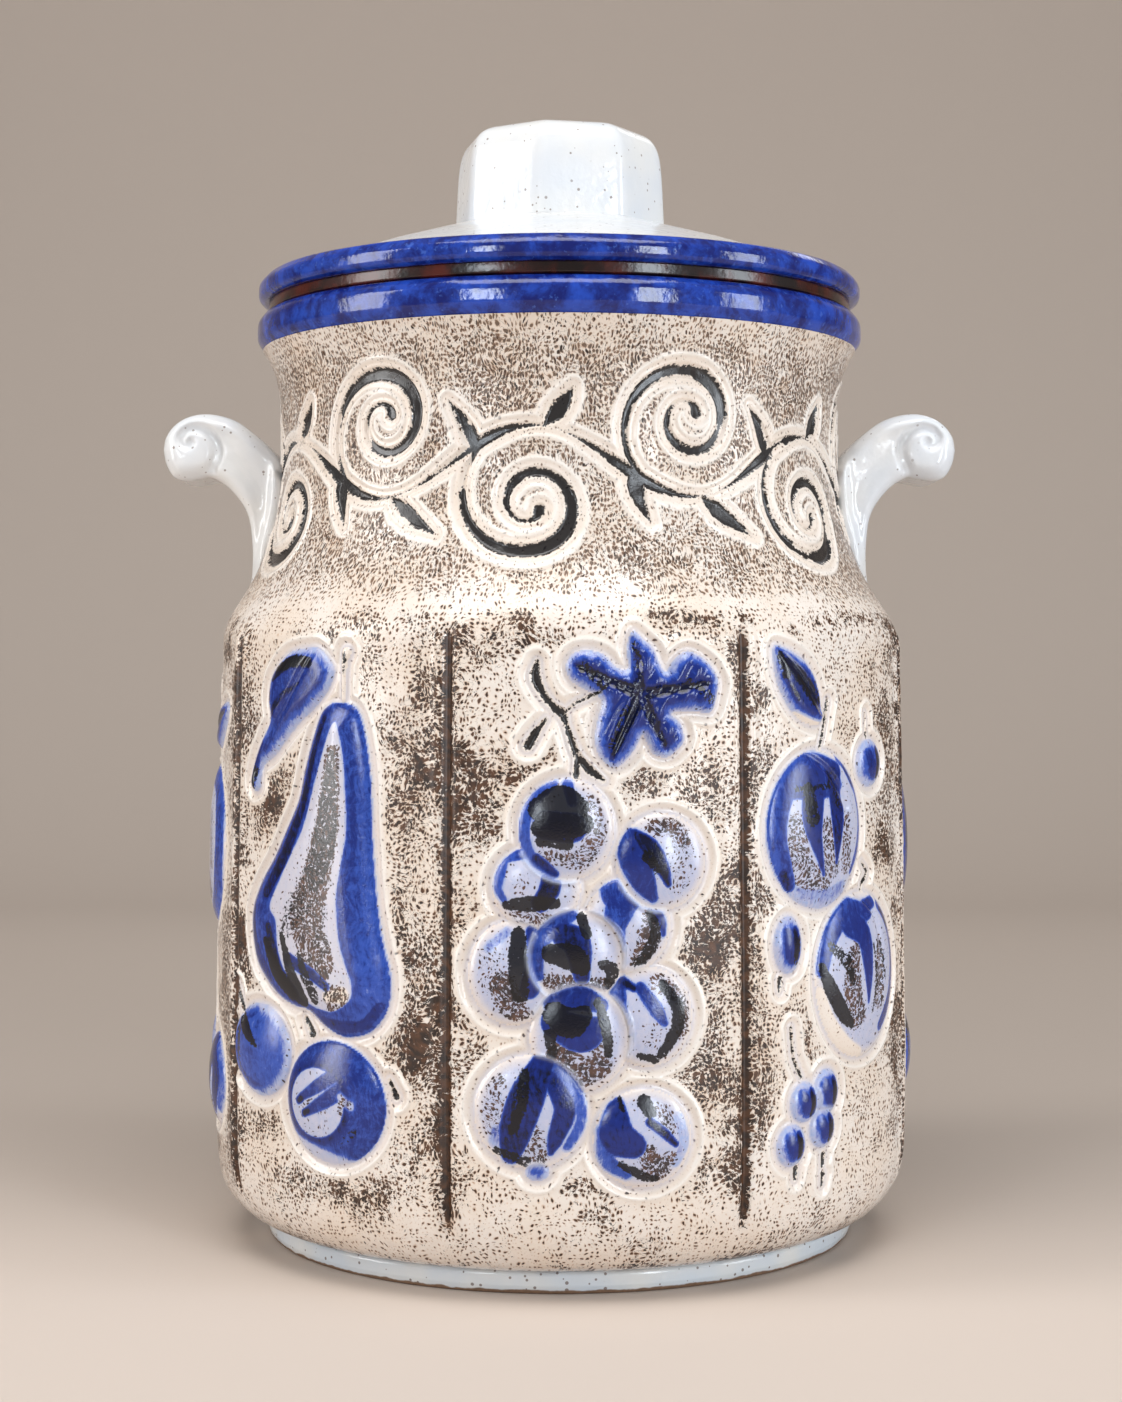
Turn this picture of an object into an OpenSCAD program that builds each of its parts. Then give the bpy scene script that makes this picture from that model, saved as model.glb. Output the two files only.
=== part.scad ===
// Rumtopf: a lidded stoneware crock with eight bowed panels that carry fruit reliefs,
// two scrolled ears on the neck and an octagonal knob on the lid.
// Origin: middle of the foot, on the table. Front of the pot: -Y.

/* [Pot] */
// Height of the pot from the table to the top of its mouth
pot_height = 260; // [245:1:290]
// Distance from the axis to the middle of a body panel
body_radius = 97.3; // [92:0.1:106]
// Thickness of the wall at the middle of a panel
body_wall = 8.3; // [6.5:0.1:11]
// Thickness of the floor
floor_thickness = 8.7; // [6:0.1:14]
// Radius of the inside corner between wall and floor
inside_corner = 15; // [8:0.5:22]

/* [Foot] */
// Outer radius of the foot ring
foot_radius = 83.6; // [80:0.1:86]
// Height of the foot ring
foot_height = 6.3; // [4.5:0.1:10]
// Width of the foot ring
foot_width = 9; // [6:0.1:14]
// Bevel of the foot's edges at the table
foot_bevel = 0.8; // [0.3:0.1:2]

/* [Panels] */
// Radius of a panel's bow, seen from above
panel_bow = 132; // [120:1:145]
// Angle from the front to the middle of the front panel
panel_turn = 6; // [0:0.5:11]
// Height at which the panels run out into the shoulder
shoulder_height = 171; // [165:1:178]
// Rise of the rounded edge at the bottom of the body
base_rise = 26; // [18:0.5:32]
// Set-back of the body's bottom edge behind the foot ring
base_setback = 0.6; // [0.2:0.1:2]
// Depth of the groove between two panels
groove_depth = 1.7; // [0.8:0.1:2.4]
// Radius of the groove's round
groove_radius = 2.2; // [1.5:0.1:3]

/* [Neck] */
// Outer radius of the neck at its narrowest
neck_radius = 79.8; // [76:0.1:82]
// Distance from the mouth rim down to the neck's narrowest place
waist_drop = 22; // [18:1:28]
// Thickness of the neck's wall at its narrowest
neck_wall = 6.8; // [5:0.1:9]
// How far the neck widens from its narrowest place to the mouth rim
lip_flare = 5.2; // [3:0.1:7]
// How sharply the neck flares towards the shoulder and the lip
flare_power = 2.8; // [2:0.1:3.6]

/* [Mouth rim] */
// How far the rolled rim round the mouth stands out from the neck below it
rim_overhang = 1.6; // [1:0.1:5]
// Height of the rolled rim
rim_height = 10; // [8:0.1:12]

/* [Ears] */
// How far an ear stands out from the neck's narrowest surface
ear_reach = 33; // [28:0.5:40]
// Width of an ear along the front of the pot
ear_width = 30; // [22:0.5:40]
// Radius of the scroll at the end of an ear
scroll_radius = 10.3; // [8:0.1:13]
// Drop of the scroll's middle below the neck's narrowest place
scroll_drop = 6.5; // [2:0.1:10]
// Radius of the hollow under an ear
ear_hollow = 23.7; // [18:0.1:28]
// Thickness of an ear's foot, outside the neck's narrowest surface
ear_foot = 7.5; // [6:0.1:12]
// Rise of the ear's lower end above the shoulder
ear_rise = 6; // [3:0.5:12]

/* [Relief] */
// Height of the fruits above the panel
fruit_lift = 3.2; // [1.5:0.1:5]
// Height of leaves and twigs above the panel
leaf_lift = 1.2; // [0.6:0.1:2.5]
// Distance from the shoulder down to the top of the relief
relief_top_margin = 3; // [1:0.5:12]
// Distance from the foot ring up to the bottom of the relief
relief_low_margin = 21.7; // [18:0.1:34]

/* [Lid] */
// Free height between the closed lid and the mouth rim
seat_gap = 0.3; // [0.2:0.05:0.6]
// How far the seat ring under the lid stands back from the mouth rim
seat_setback = 3.3; // [1.5:0.1:7]
// Height of the seat ring
seat_height = 3.2; // [2:0.1:5]
// Free play round the collar that centres the lid in the mouth
collar_play = 1.5; // [0.8:0.1:3]
// Thickness of the collar
collar_wall = 6; // [4:0.1:8]
// Depth to which the collar reaches into the mouth
collar_depth = 9; // [5:0.5:15]
// How far the lid's rolled rim stands back from the mouth rim
lid_rim_setback = 0.3; // [0:0.1:1]
// Width of the lid's rolled rim
lid_rim_width = 9; // [7:0.1:12]
// Height of the lid's rolled rim
lid_rim_height = 7.1; // [6:0.1:10]
// Rise of the lid's cone from the rim to the knob
lid_rise = 15.1; // [10:0.1:22]
// Thickness of the lid under the knob
lid_wall = 6.5; // [5:0.1:9]

/* [Knob] */
// Radius to the corners of the knob at its base
knob_radius = 31; // [28:0.1:38]
// Height of the knob
knob_height = 28.3; // [22:0.1:38]
// Lean of the knob's faces, in degrees
knob_lean = 2.6; // [0:0.1:6]
// Radius of the knob's top edge
knob_round = 5; // [2:0.1:7]
// Radius of the hollow inside the knob
knob_bore = 20.5; // [14:0.1:22]
// Thickness of the knob's top
knob_top = 7; // [5:0.1:12]
// Angle from the front to the middle of the knob's front face
knob_turn = 12.7; // [0:0.1:22]

/* [Hidden] */
$fn = 120;

// Panels: the same four reliefs twice round the body, one after the other
panel_count = 8;
panel_step = 360 / panel_count;
bow_offset = panel_bow - body_radius;
corner_radius = sqrt(pow(panel_bow, 2) - pow(bow_offset * sin(panel_step / 2), 2))
    - bow_offset * cos(panel_step / 2);
// The turned outline stays this far outside the panels, so that they shape the body alone
outline_spare = 1.2;
widest = corner_radius + outline_spare;
base_radius = foot_radius - base_setback;

// Heights, from the table up
floor_z = foot_height + floor_thickness;
lip_z = pot_height - rim_height;
waist_z = lip_z - waist_drop;
relief_low = foot_height + relief_low_margin;
relief_high = shoulder_height - relief_top_margin;
seat_z = pot_height + seat_gap;
lid_z = seat_z + seat_height;
lid_rim_z = lid_z + lid_rim_height;
knob_z = lid_rim_z + lid_rise;
knob_top_z = knob_z + knob_height;

// Radii of the mouth and of what sits in it and on it
lip_radius = neck_radius + lip_flare;
rim_radius = lip_radius + rim_overhang;
seat_radius = rim_radius - seat_setback;
lid_rim_radius = rim_radius - lid_rim_setback;
inner_radius = body_radius - body_wall;
mouth_radius = neck_radius - neck_wall;
collar_radius = mouth_radius - collar_play;
collar_inner = collar_radius - collar_wall;
cone_radius = lid_rim_radius - lid_rim_width;

// The knob's faces are cut from a turned blank that is this much wider than its corners
knob_sides = 8;
knob_spare = 1;

// Drop of the hollow's middle below the middle between the scroll and the arm's end
hollow_drop = 6.2;
// Drop of the arm's upper edge at its root below the scroll's middle
root_drop = 2;
// The arm's upper edge runs from its root to this angle of the scroll
crest_angle = 122;
// The arm's root lies this deep inside the neck's narrowest surface
root_depth = 6;
// Ears: the height where the arm runs into the shoulder, the middle of the scroll and of the hollow
ear_end_z = shoulder_height + ear_rise;
scroll = [neck_radius + ear_reach - scroll_radius, waist_z - scroll_drop];
hollow = [neck_radius + ear_foot + ear_hollow, (scroll[1] + ear_end_z) / 2 - hollow_drop];

// The reliefs are drawn on a sheet that counts this many units from its foot to its top, with u = 0
// on the panel's middle
sheet_units = 140;
unit = (relief_high - relief_low) / sheet_units;

// Fruits: [u, height on the sheet, radius], in units of the sheet
GRAPES = [[-8, 91, 12.5], [15, 83, 12], [-16, 76, 11], [7, 68, 12], [-22, 56, 12], [-6, 60, 13],
    [12, 45, 12], [-5, 40, 13.5], [-17, 21, 14], [11, 15, 13]];
CURRANTS = [[14, 106, 5], [-24, 60, 5.5], [-20, 20, 5], [-10, 23, 5.5], [-13, 12, 5], [-24, 8, 5.5]];
CHERRIES = [[-24, 31, 9.5], [6, 20, 15]];
APPLE_CHERRIES = [[-14, 22, 12], [15, 17, 13]];

// Colours
CLAY = "antiquewhite";
GREY_GLAZE = "gainsboro";
BLUE_GLAZE = "mediumblue";
BROWN_GLAZE = "#3a1410";

// A fruit's cap is the top of a lens that reaches this deep into the wall
fruit_root = 1;

// Points round a circle: the shallow rounds of panels and fruits take more
fine = 480;
steps = 12;

// Points along an ellipse's arc round c, from angle a0 to a1
function arc(c, rx, ry, a0, a1) =
    [for (i = [0 : steps]) let (a = a0 + (a1 - a0) * i / steps) [c[0] + rx * cos(a), c[1] + ry * sin(a)]];

// Outer radius of the neck and shoulder at height z
function neck_at(z) = z < waist_z
    ? neck_radius + (body_radius - neck_radius)
        * pow((waist_z - z) / (waist_z - shoulder_height), flare_power)
    : neck_radius + (lip_radius - neck_radius)
        * pow((z - waist_z) / (lip_z - waist_z), flare_power);

// Height at which the flaring shoulder is as wide as the turned outline
flare_z = waist_z - (waist_z - shoulder_height)
    * pow((widest - neck_radius) / (body_radius - neck_radius), 1 / flare_power);

function neck_points(z0, z1, n) = [for (i = [0 : n]) let (z = z0 + (z1 - z0) * i / n) [neck_at(z), z]];

outer_outline = concat([[0, foot_height]],
    arc([base_radius, foot_height + base_rise], widest - base_radius, base_rise, -90, 0),
    neck_points(flare_z, waist_z, 2 * steps),
    neck_points(waist_z + 2, lip_z, steps),
    [[0, lip_z]]);

inner_outline = concat([[0, floor_z]],
    arc([inner_radius - inside_corner, floor_z + inside_corner], inside_corner, inside_corner, -90, 0),
    [for (p = neck_points(shoulder_height - 2, waist_z, 2 * steps))
            [min(inner_radius, p[0] - neck_wall), p[1]]],
    [[mouth_radius, pot_height], [0, pot_height]]);

// Frame of a panel: x outward, y along the panel, panel 0 in front and the next to its right
module on_panel(k) {
    rotate([0, 0, panel_turn - 90 + k * panel_step])
        children();
}

// Solid that the panel's bow bounds, as high as the body
module panel_round(grow = 0) {
    translate([-bow_offset, 0, 0])
        cylinder(r = panel_bow + grow, h = pot_height, $fn = fine);
}

module neck_solid() {
    rotate_extrude()
        polygon(outer_outline);
}

module pot_body() {
    color(CLAY)
        difference() {
            intersection() {
                neck_solid();
                intersection_for (k = [0 : panel_count - 1])
                    on_panel(k) panel_round();
            }
            for (k = [0 : panel_count - 1])
                on_panel(k + 0.5)
                    translate([corner_radius + groove_radius - groove_depth, 0, 0])
                        cylinder(r = groove_radius, h = pot_height);
            rotate_extrude()
                polygon(inner_outline);
        }
}

module foot_ring() {
    inner = foot_radius - foot_width;
    color(GREY_GLAZE)
        rotate_extrude()
            polygon([[inner + foot_bevel, 0], [foot_radius - foot_bevel, 0], [foot_radius, foot_bevel],
                [foot_radius, foot_height - foot_bevel], [base_radius, foot_height],
                [inner, foot_height], [inner, foot_bevel]]);
}

module mouth_rim() {
    half = rim_height / 2;
    color(BLUE_GLAZE)
        rotate_extrude()
            polygon(concat([[mouth_radius, lip_z]],
                arc([lip_radius, lip_z + half], rim_radius - lip_radius, half, -90, 0),
                arc([rim_radius - half, lip_z + half], half, half, 0, 90),
                [[mouth_radius, pot_height]]));
}

// An ear: an arm that leaves the neck, curls over in a scroll and leaves a hollow below it
module ear(side) {
    color(GREY_GLAZE)
        mirror([side < 0 ? 1 : 0, 0, 0])
            difference() {
                translate([0, ear_width / 2, 0])
                    rotate([90, 0, 0])
                        linear_extrude(ear_width)
                            ear_outline();
                neck_solid();
            }
}

module ear_outline() {
    root = neck_radius - root_depth;
    translate(scroll)
        circle(scroll_radius);
    difference() {
        polygon([[root, ear_end_z], [hollow[0] - ear_hollow / 2, ear_end_z], hollow,
            [hollow[0], scroll[1] - scroll_radius / 2], scroll,
            scroll + scroll_radius * [cos(crest_angle), sin(crest_angle)],
            [root, scroll[1] - root_drop]]);
        translate(hollow)
            circle(ear_hollow);
    }
}

module ear_left() {
    ear(-1);
}

module ear_right() {
    ear(1);
}

// Point of the relief's sheet: x outward from the panel's surface, y along it, z up
module on_sheet(u, height) {
    translate([-bow_offset, 0, relief_low + height * unit])
        rotate([0, 0, asin(u * unit / panel_bow)])
            translate([panel_bow, 0, 0])
                children();
}

// Low cap of the given half width and half height: an arc turned about an upright axis in the wall
module fruit(u, height, half_width, half_height) {
    bow = half_width * unit / panel_bow * 180 / PI;
    top = panel_bow + fruit_lift;
    across = (pow(panel_bow, 2) + pow(top, 2) - 2 * panel_bow * top * cos(bow))
        / (2 * (top - panel_bow * cos(bow)));
    tall = half_height * unit;
    upright = (pow(tall, 2) + pow(fruit_lift, 2)) / (2 * fruit_lift);
    rind = fruit_lift + fruit_root;
    on_sheet(u, height)
        translate([fruit_lift - across, 0, 0])
            rotate([0, 0, -90])
                rotate_extrude(angle = 180, $fn = fine)
                    intersection() {
                        translate([across - upright, 0])
                            circle(upright, $fn = fine);
                        translate([across - rind, -1.5 * tall])
                            square([2 * rind, 3 * tall]);
                    }
}

module berries(spots) {
    for (spot = spots)
        fruit(spot[0], spot[1], spot[2], spot[2]);
}

// Flat motif of the sheet, laid on the panel's bow
module laid_flat() {
    intersection() {
        difference() {
            panel_round(leaf_lift);
            panel_round();
        }
        translate([0, 0, relief_low])
            rotate([90, 0, 90])
                linear_extrude(widest + leaf_lift)
                    scale(unit)
                        children();
    }
}

// Pointed leaf from its stalk end at the origin towards +y
module leaf_shape(long, wide) {
    round = (pow(long, 2) + pow(wide, 2)) / (4 * wide);
    translate([0, long / 2])
        intersection_for (s = [-1, 1])
            translate([s * (round - wide / 2), 0])
                circle(round);
}

module leaf(u, height, turn, long, wide) {
    translate([u, height])
        rotate(turn)
            leaf_shape(long, wide);
}

// Straight piece of twig between two points of the sheet
module twig(a, b, thick = 2) {
    d = b - a;
    translate(a)
        rotate(atan2(d[1], d[0]))
            translate([-thick / 2, -thick / 2])
                square([norm(d) + thick, thick]);
}

// What a relief stands on is cut away, so that it lies face to face with its panel
module relief(k) {
    on_panel(k)
        difference() {
            children();
            panel_round();
        }
}

module grapes(k) {
    color(BLUE_GLAZE)
        relief(k) {
            berries(GRAPES);
            laid_flat() {
                for (turn = [8, 80, 152, 224, 296])
                    leaf(11, 126, turn, 18, 12);
                twig([-9, 103], [-14, 132]);
                twig([-13, 121], [-19, 112]);
                twig([-11, 112], [0, 104]);
                twig([0, 104], [9, 122]);
            }
        }
}

module plums(k) {
    color(BLUE_GLAZE)
        relief(k) {
            fruit(-13, 90, 15, 21);
            fruit(4, 52, 15, 21);
            berries(CURRANTS);
            laid_flat() {
                leaf(-11, 120, 36, 22, 12);
                twig([-12, 110], [-10, 124]);
                twig([14, 110], [11, 120], 1.6);
                twig([-13, 12], [-22, 36], 1.6);
            }
        }
}

module apple(k) {
    color(BLUE_GLAZE)
        relief(k) {
            fruit(0, 84, 25, 24);
            berries(APPLE_CHERRIES);
            laid_flat() {
                leaf(2, 112, -62, 24, 13);
                twig([0, 107], [2, 126]);
                twig([-14, 33], [0, 54], 1.6);
                twig([15, 29], [0, 54], 1.6);
            }
        }
}

// Half outline of a pear about its own axis, [half width, height], in units of the sheet
PEAR = concat([[0, -24]], arc([0, 0], 24, 24, -80, 20), arc([28, 30], 20, 22, 205, 165),
    arc([0, 54], 7, 9, 20, 90));

module pear(k) {
    pear_height = 62;
    pear_lean = 9;
    color(BLUE_GLAZE)
        relief(k) {
            on_sheet(-2, pear_height)
                rotate([pear_lean, 0, 0])
                    scale([1.3 * fruit_lift / 24, unit, unit])
                        rotate_extrude()
                            polygon(PEAR);
            berries(CHERRIES);
            laid_flat() {
                leaf(4, 134, 130, 40, 17);
                twig([8, 120], [7, 136]);
                twig([-24, 38], [-32, 46], 1.6);
            }
        }
}

module grapes_front() {
    grapes(0);
}

module plums_right() {
    plums(1);
}

module apple_right() {
    apple(2);
}

module pear_right() {
    pear(3);
}

module grapes_back() {
    grapes(4);
}

module plums_left() {
    plums(5);
}

module apple_left() {
    apple(6);
}

module pear_left() {
    pear(7);
}

// Ring under the lid: a flat seat on the mouth rim, and a collar that centres it in the mouth
module lid_seat() {
    color(BROWN_GLAZE)
        rotate_extrude()
            polygon([[collar_inner, pot_height - collar_depth], [collar_radius, pot_height - collar_depth],
                [collar_radius, seat_z], [seat_radius, seat_z], [seat_radius, lid_z], [collar_inner, lid_z]]);
}

module lid_rim() {
    half = lid_rim_height / 2;
    color(BLUE_GLAZE)
        rotate_extrude()
            polygon(concat([[cone_radius, lid_z]],
                arc([lid_rim_radius - half, lid_z + half], half, half, -90, 90),
                [[cone_radius, lid_rim_z]]));
}

module lid_dome() {
    color(GREY_GLAZE)
        rotate_extrude()
            polygon([[collar_inner, lid_z], [cone_radius, lid_z], [cone_radius, lid_rim_z],
                [knob_radius, knob_z], [knob_bore, knob_z], [knob_bore, knob_z - lid_wall],
                [knob_radius, knob_z - lid_wall]]);
}

module lid_knob() {
    apothem = knob_radius * cos(180 / knob_sides);
    color(GREY_GLAZE)
        difference() {
            rotate_extrude()
                polygon(concat([[0, knob_z], [knob_radius + knob_spare, knob_z]],
                    arc([knob_radius - knob_round - knob_spare, knob_top_z - knob_round],
                        knob_round + 2 * knob_spare, knob_round, 0, 90),
                    [[0, knob_top_z]]));
            for (k = [1 : knob_sides])
                rotate([0, 0, knob_turn - 90 + k * 360 / knob_sides])
                    translate([apothem, 0, knob_z])
                        rotate([0, -knob_lean, 0])
                            translate([0, -knob_radius, -knob_height])
                                cube([knob_radius, 2 * knob_radius, 3 * knob_height]);
            translate([0, 0, knob_z - 1])
                cylinder(r = knob_bore, h = knob_height - knob_top + 1);
        }
}

pot_body();
foot_ring();
mouth_rim();
ear_left();
ear_right();
grapes_front();
grapes_back();
plums_right();
plums_left();
apple_right();
apple_left();
pear_left();
pear_right();
lid_dome();
lid_rim();
lid_seat();
lid_knob();
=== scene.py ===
"""Rumtopf crock: a stoneware pot with fruit reliefs on eight bowed panels, scrolled ears on its neck,
rolled blue rims and a lid with an octagonal knob.

Shapes are worked out in millimetres in the part's own frame (foot on z = 0, front towards -Y) and
are made metres when a mesh is written.
"""
import math

import bmesh
import bpy
import numpy as np
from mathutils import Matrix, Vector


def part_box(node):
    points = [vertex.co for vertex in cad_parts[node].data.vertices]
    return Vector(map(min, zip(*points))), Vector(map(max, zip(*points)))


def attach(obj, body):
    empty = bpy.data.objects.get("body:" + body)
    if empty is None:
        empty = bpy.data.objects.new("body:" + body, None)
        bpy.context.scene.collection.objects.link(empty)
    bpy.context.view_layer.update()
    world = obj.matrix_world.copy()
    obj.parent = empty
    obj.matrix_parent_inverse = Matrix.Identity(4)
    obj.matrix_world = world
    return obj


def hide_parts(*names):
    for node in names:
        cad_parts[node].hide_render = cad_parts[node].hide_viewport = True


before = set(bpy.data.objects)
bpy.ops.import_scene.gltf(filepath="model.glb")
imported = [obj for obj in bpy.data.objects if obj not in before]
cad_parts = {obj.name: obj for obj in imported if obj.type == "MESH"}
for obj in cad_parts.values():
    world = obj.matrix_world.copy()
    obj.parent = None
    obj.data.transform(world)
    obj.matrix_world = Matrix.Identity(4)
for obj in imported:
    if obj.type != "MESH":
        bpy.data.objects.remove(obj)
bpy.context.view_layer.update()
MM = 0.001

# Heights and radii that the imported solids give
foot_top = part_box("pot_body")[0].z / MM
lip_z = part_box("pot_body")[1].z / MM
rim_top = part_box("mouth_rim")[1].z / MM
seat_z = rim_top + 0.3
lid_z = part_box("lid_rim")[0].z / MM
lid_rim_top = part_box("lid_rim")[1].z / MM
knob_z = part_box("lid_knob")[0].z / MM
knob_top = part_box("lid_knob")[1].z / MM
rim_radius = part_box("mouth_rim")[1].x / MM
lid_rim_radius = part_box("lid_rim")[1].x / MM
seat_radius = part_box("lid_seat")[1].x / MM
foot_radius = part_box("foot_ring")[1].x / MM

PANELS = 8
PANEL_TURN = 6.0
PANEL_BOW = 132.0
WAIST_Z = 228.0
MOUTH_RADIUS = 73.0
CHAMBER_RADIUS = 89.0
FLOOR_Z = 15.0


# ---------------------------------------------------------------- shapes of curves and fields

def ease(x, low, high):
    """Smooth step: 0 where x is at low, 1 where it is at high, level at both ends."""
    t = np.clip((x - low) / (high - low), 0, 1)
    return t * t * (3 - 2 * t)


def bell(x, width):
    """Bell curve exp(-(x / width)^2)."""
    return np.exp(-((x / width) ** 2))


def blend_min(a, b, reach):
    """The smaller of a and b, rounded off by a parabola where they differ by less than reach."""
    h = np.clip(reach - np.abs(a - b), 0, None) / reach
    return np.minimum(a, b) - h * h * reach / 4


def clay_noise(x, y, z, size, seed):
    """Random field from 0 to 1: random values at the corners of cubes of this size, eased between."""
    table = np.random.default_rng(seed).random((32, 32, 32))
    whole = [np.floor(c / size).astype(int) for c in (x, y, z)]
    part = [c / size - w for c, w in zip((x, y, z), whole)]
    part = [f * f * (3 - 2 * f) for f in part]
    total = 0.0
    for corner in np.ndindex(2, 2, 2):
        weight = 1.0
        for f, k in zip(part, corner):
            weight = weight * (f if k else 1 - f)
        cell = [(w + k) % 32 for w, k in zip(whole, corner)]
        total = total + weight * table[cell[0], cell[1], cell[2]]
    return total


def through(points, fine=8, closed=False):
    """Catmull-Rom curve through the points: between two of them the cubic whose end slopes are half
    the way from the point before to the point after."""
    p = np.asarray(points, float)
    if closed:
        before, after, after2 = np.roll(p, 1, 0), np.roll(p, -1, 0), np.roll(p, -2, 0)
    else:
        ends = np.vstack([2 * p[0] - p[1], p, 2 * p[-1] - p[-2]])
        before, p, after, after2 = ends[:-3], ends[1:-2], ends[2:-1], ends[3:]
    t = (np.arange(fine) / fine)[None, :, None]
    a, b, c, d = (q[:, None, :] for q in (before, p, after, after2))
    curve = 0.5 * (2 * b + (c - a) * t + (2 * a - 5 * b + 4 * c - d) * t**2
                   + (3 * b - a - 3 * c + d) * t**3)
    curve = curve.reshape(-1, p.shape[1])
    return curve if closed else np.vstack([curve, after[-1]])


def from_ellipse(u, z, centre, half, lean=0.0):
    """Distance to an ellipse, negative inside: (m - 1) over the slope of m, where m is the radius
    scaled by the two half axes. Also gives m."""
    c, s = math.cos(math.radians(lean)), math.sin(math.radians(lean))
    x = (u - centre[0]) * c + (z - centre[1]) * s
    y = (z - centre[1]) * c - (u - centre[0]) * s
    m = np.hypot(x / half[0], y / half[1])
    slope = np.hypot(x / half[0]**2, y / half[1]**2) / np.maximum(m, 1e-6)
    return (m - 1) / np.maximum(slope, 1e-3), m


def from_outline(u, z, curve, reach=9.0):
    """Distance to a closed curve, negative inside: the least distance to its straight pieces, with
    the sign from how many of them a ray crosses. Points past reach outside its box get reach."""
    low, high = curve.min(0) - reach, curve.max(0) + reach
    near = (u > low[0]) & (u < high[0]) & (z > low[1]) & (z < high[1])
    pu, pz = u[near], z[near]
    best, inside = np.full(pu.shape, 1e9), np.zeros(pu.shape, bool)
    for a, b in zip(curve, np.roll(curve, -1, 0)):
        d = b - a
        t = np.clip(((pu - a[0]) * d[0] + (pz - a[1]) * d[1]) / max(d @ d, 1e-12), 0, 1)
        best = np.minimum(best, (pu - a[0] - t * d[0])**2 + (pz - a[1] - t * d[1])**2)
        if a[1] != b[1]:
            inside ^= ((a[1] > pz) != (b[1] > pz)) & (pu < d[0] * (pz - a[1]) / d[1] + a[0])
    out = np.full(u.shape, reach)
    out[near] = np.minimum(np.sqrt(best), reach) * np.where(inside, -1, 1)
    return out


def from_stroke(u, z, points, widths, fine=6, reach=9.0):
    """Distance to a tapered stroke: the least distance to its straight pieces less the half width
    there. points carry the stroke, widths are the half widths at them."""
    line = through(np.column_stack([points, widths]), fine)
    low, high = line[:, :2].min(0) - reach, line[:, :2].max(0) + reach
    near = (u > low[0]) & (u < high[0]) & (z > low[1]) & (z < high[1])
    pu, pz = u[near], z[near]
    best = np.full(pu.shape, reach)
    for a, b in zip(line[:-1], line[1:]):
        d = b - a
        t = np.clip(((pu - a[0]) * d[0] + (pz - a[1]) * d[1]) / max(d[:2] @ d[:2], 1e-12), 0, 1)
        far = np.hypot(pu - a[0] - t * d[0], pz - a[1] - t * d[1])
        best = np.minimum(best, far - a[2] - t * d[2])
    out = np.full(u.shape, reach)
    out[near] = best
    return out


def paint(distance, soft=2.0):
    """Amount of glaze round a painted edge: a half on the edge, 1 this far inside and 0 outside."""
    return np.clip(0.5 - distance / (2 * soft), 0, 1)


# ---------------------------------------------------------------- meshes

def grid_quads(rows, cols, start=0, close_rows=False, close_cols=False):
    """Quads of a grid whose points are counted along its columns first."""
    r = np.arange(rows if close_rows else rows - 1)
    c = np.arange(cols if close_cols else cols - 1)
    r, c = [a.ravel() for a in np.meshgrid(r, c, indexing="ij")]
    r1, c1 = (r + 1) % rows, (c + 1) % cols
    return start + np.column_stack([r * cols + c, r * cols + c1, r1 * cols + c1, r1 * cols + c])


def write_piece(name, points, quads, finishes, body, stands_for, triangles=None, normals=None,
                fields=None, second=None, weld=False):
    """Writes one piece: points in mm, quads and triangles by point, a finish (material) list, the body
    it rides on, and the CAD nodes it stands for. second marks the faces that take
    the second finish; fields are colour attributes on the points."""
    mesh = bpy.data.meshes.new(name)
    tri = np.zeros((0, 3), int) if triangles is None else triangles
    corners = np.concatenate([quads.ravel(), tri.ravel()]).astype(np.int32)
    starts = np.concatenate([np.arange(len(quads)) * 4, len(quads) * 4 + np.arange(len(tri)) * 3])
    mesh.vertices.add(len(points))
    mesh.vertices.foreach_set("co", (points * MM).astype(np.float32).ravel())
    mesh.loops.add(len(corners))
    mesh.loops.foreach_set("vertex_index", corners)
    mesh.polygons.add(len(starts))
    mesh.polygons.foreach_set("loop_start", starts.astype(np.int32))
    mesh.polygons.foreach_set("use_smooth", np.ones(len(starts), bool))
    for finish in finishes:
        mesh.materials.append(finish)
    if second is not None:
        mesh.polygons.foreach_set("material_index", second.astype(np.int32))
    mesh.update(calc_edges=True)
    for key, values in (fields or {}).items():
        layer = mesh.attributes.new(key, "FLOAT_COLOR" if values.shape[1] == 4 else "FLOAT_VECTOR", "POINT")
        layer.data.foreach_set("color" if values.shape[1] == 4 else "vector",
                               values.astype(np.float32).ravel())
    if weld:
        bm = bmesh.new()
        bm.from_mesh(mesh)
        bmesh.ops.remove_doubles(bm, verts=bm.verts, dist=2e-6)
        bmesh.ops.recalc_face_normals(bm, faces=bm.faces)
        bm.to_mesh(mesh)
        bm.free()
    mesh.validate()
    if normals is not None:
        mesh.normals_split_custom_set_from_vertices(normals.tolist())
    piece = bpy.data.objects.new(name, mesh)
    bpy.context.scene.collection.objects.link(piece)
    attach(piece, body)
    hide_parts(*stands_for)
    return piece


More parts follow.
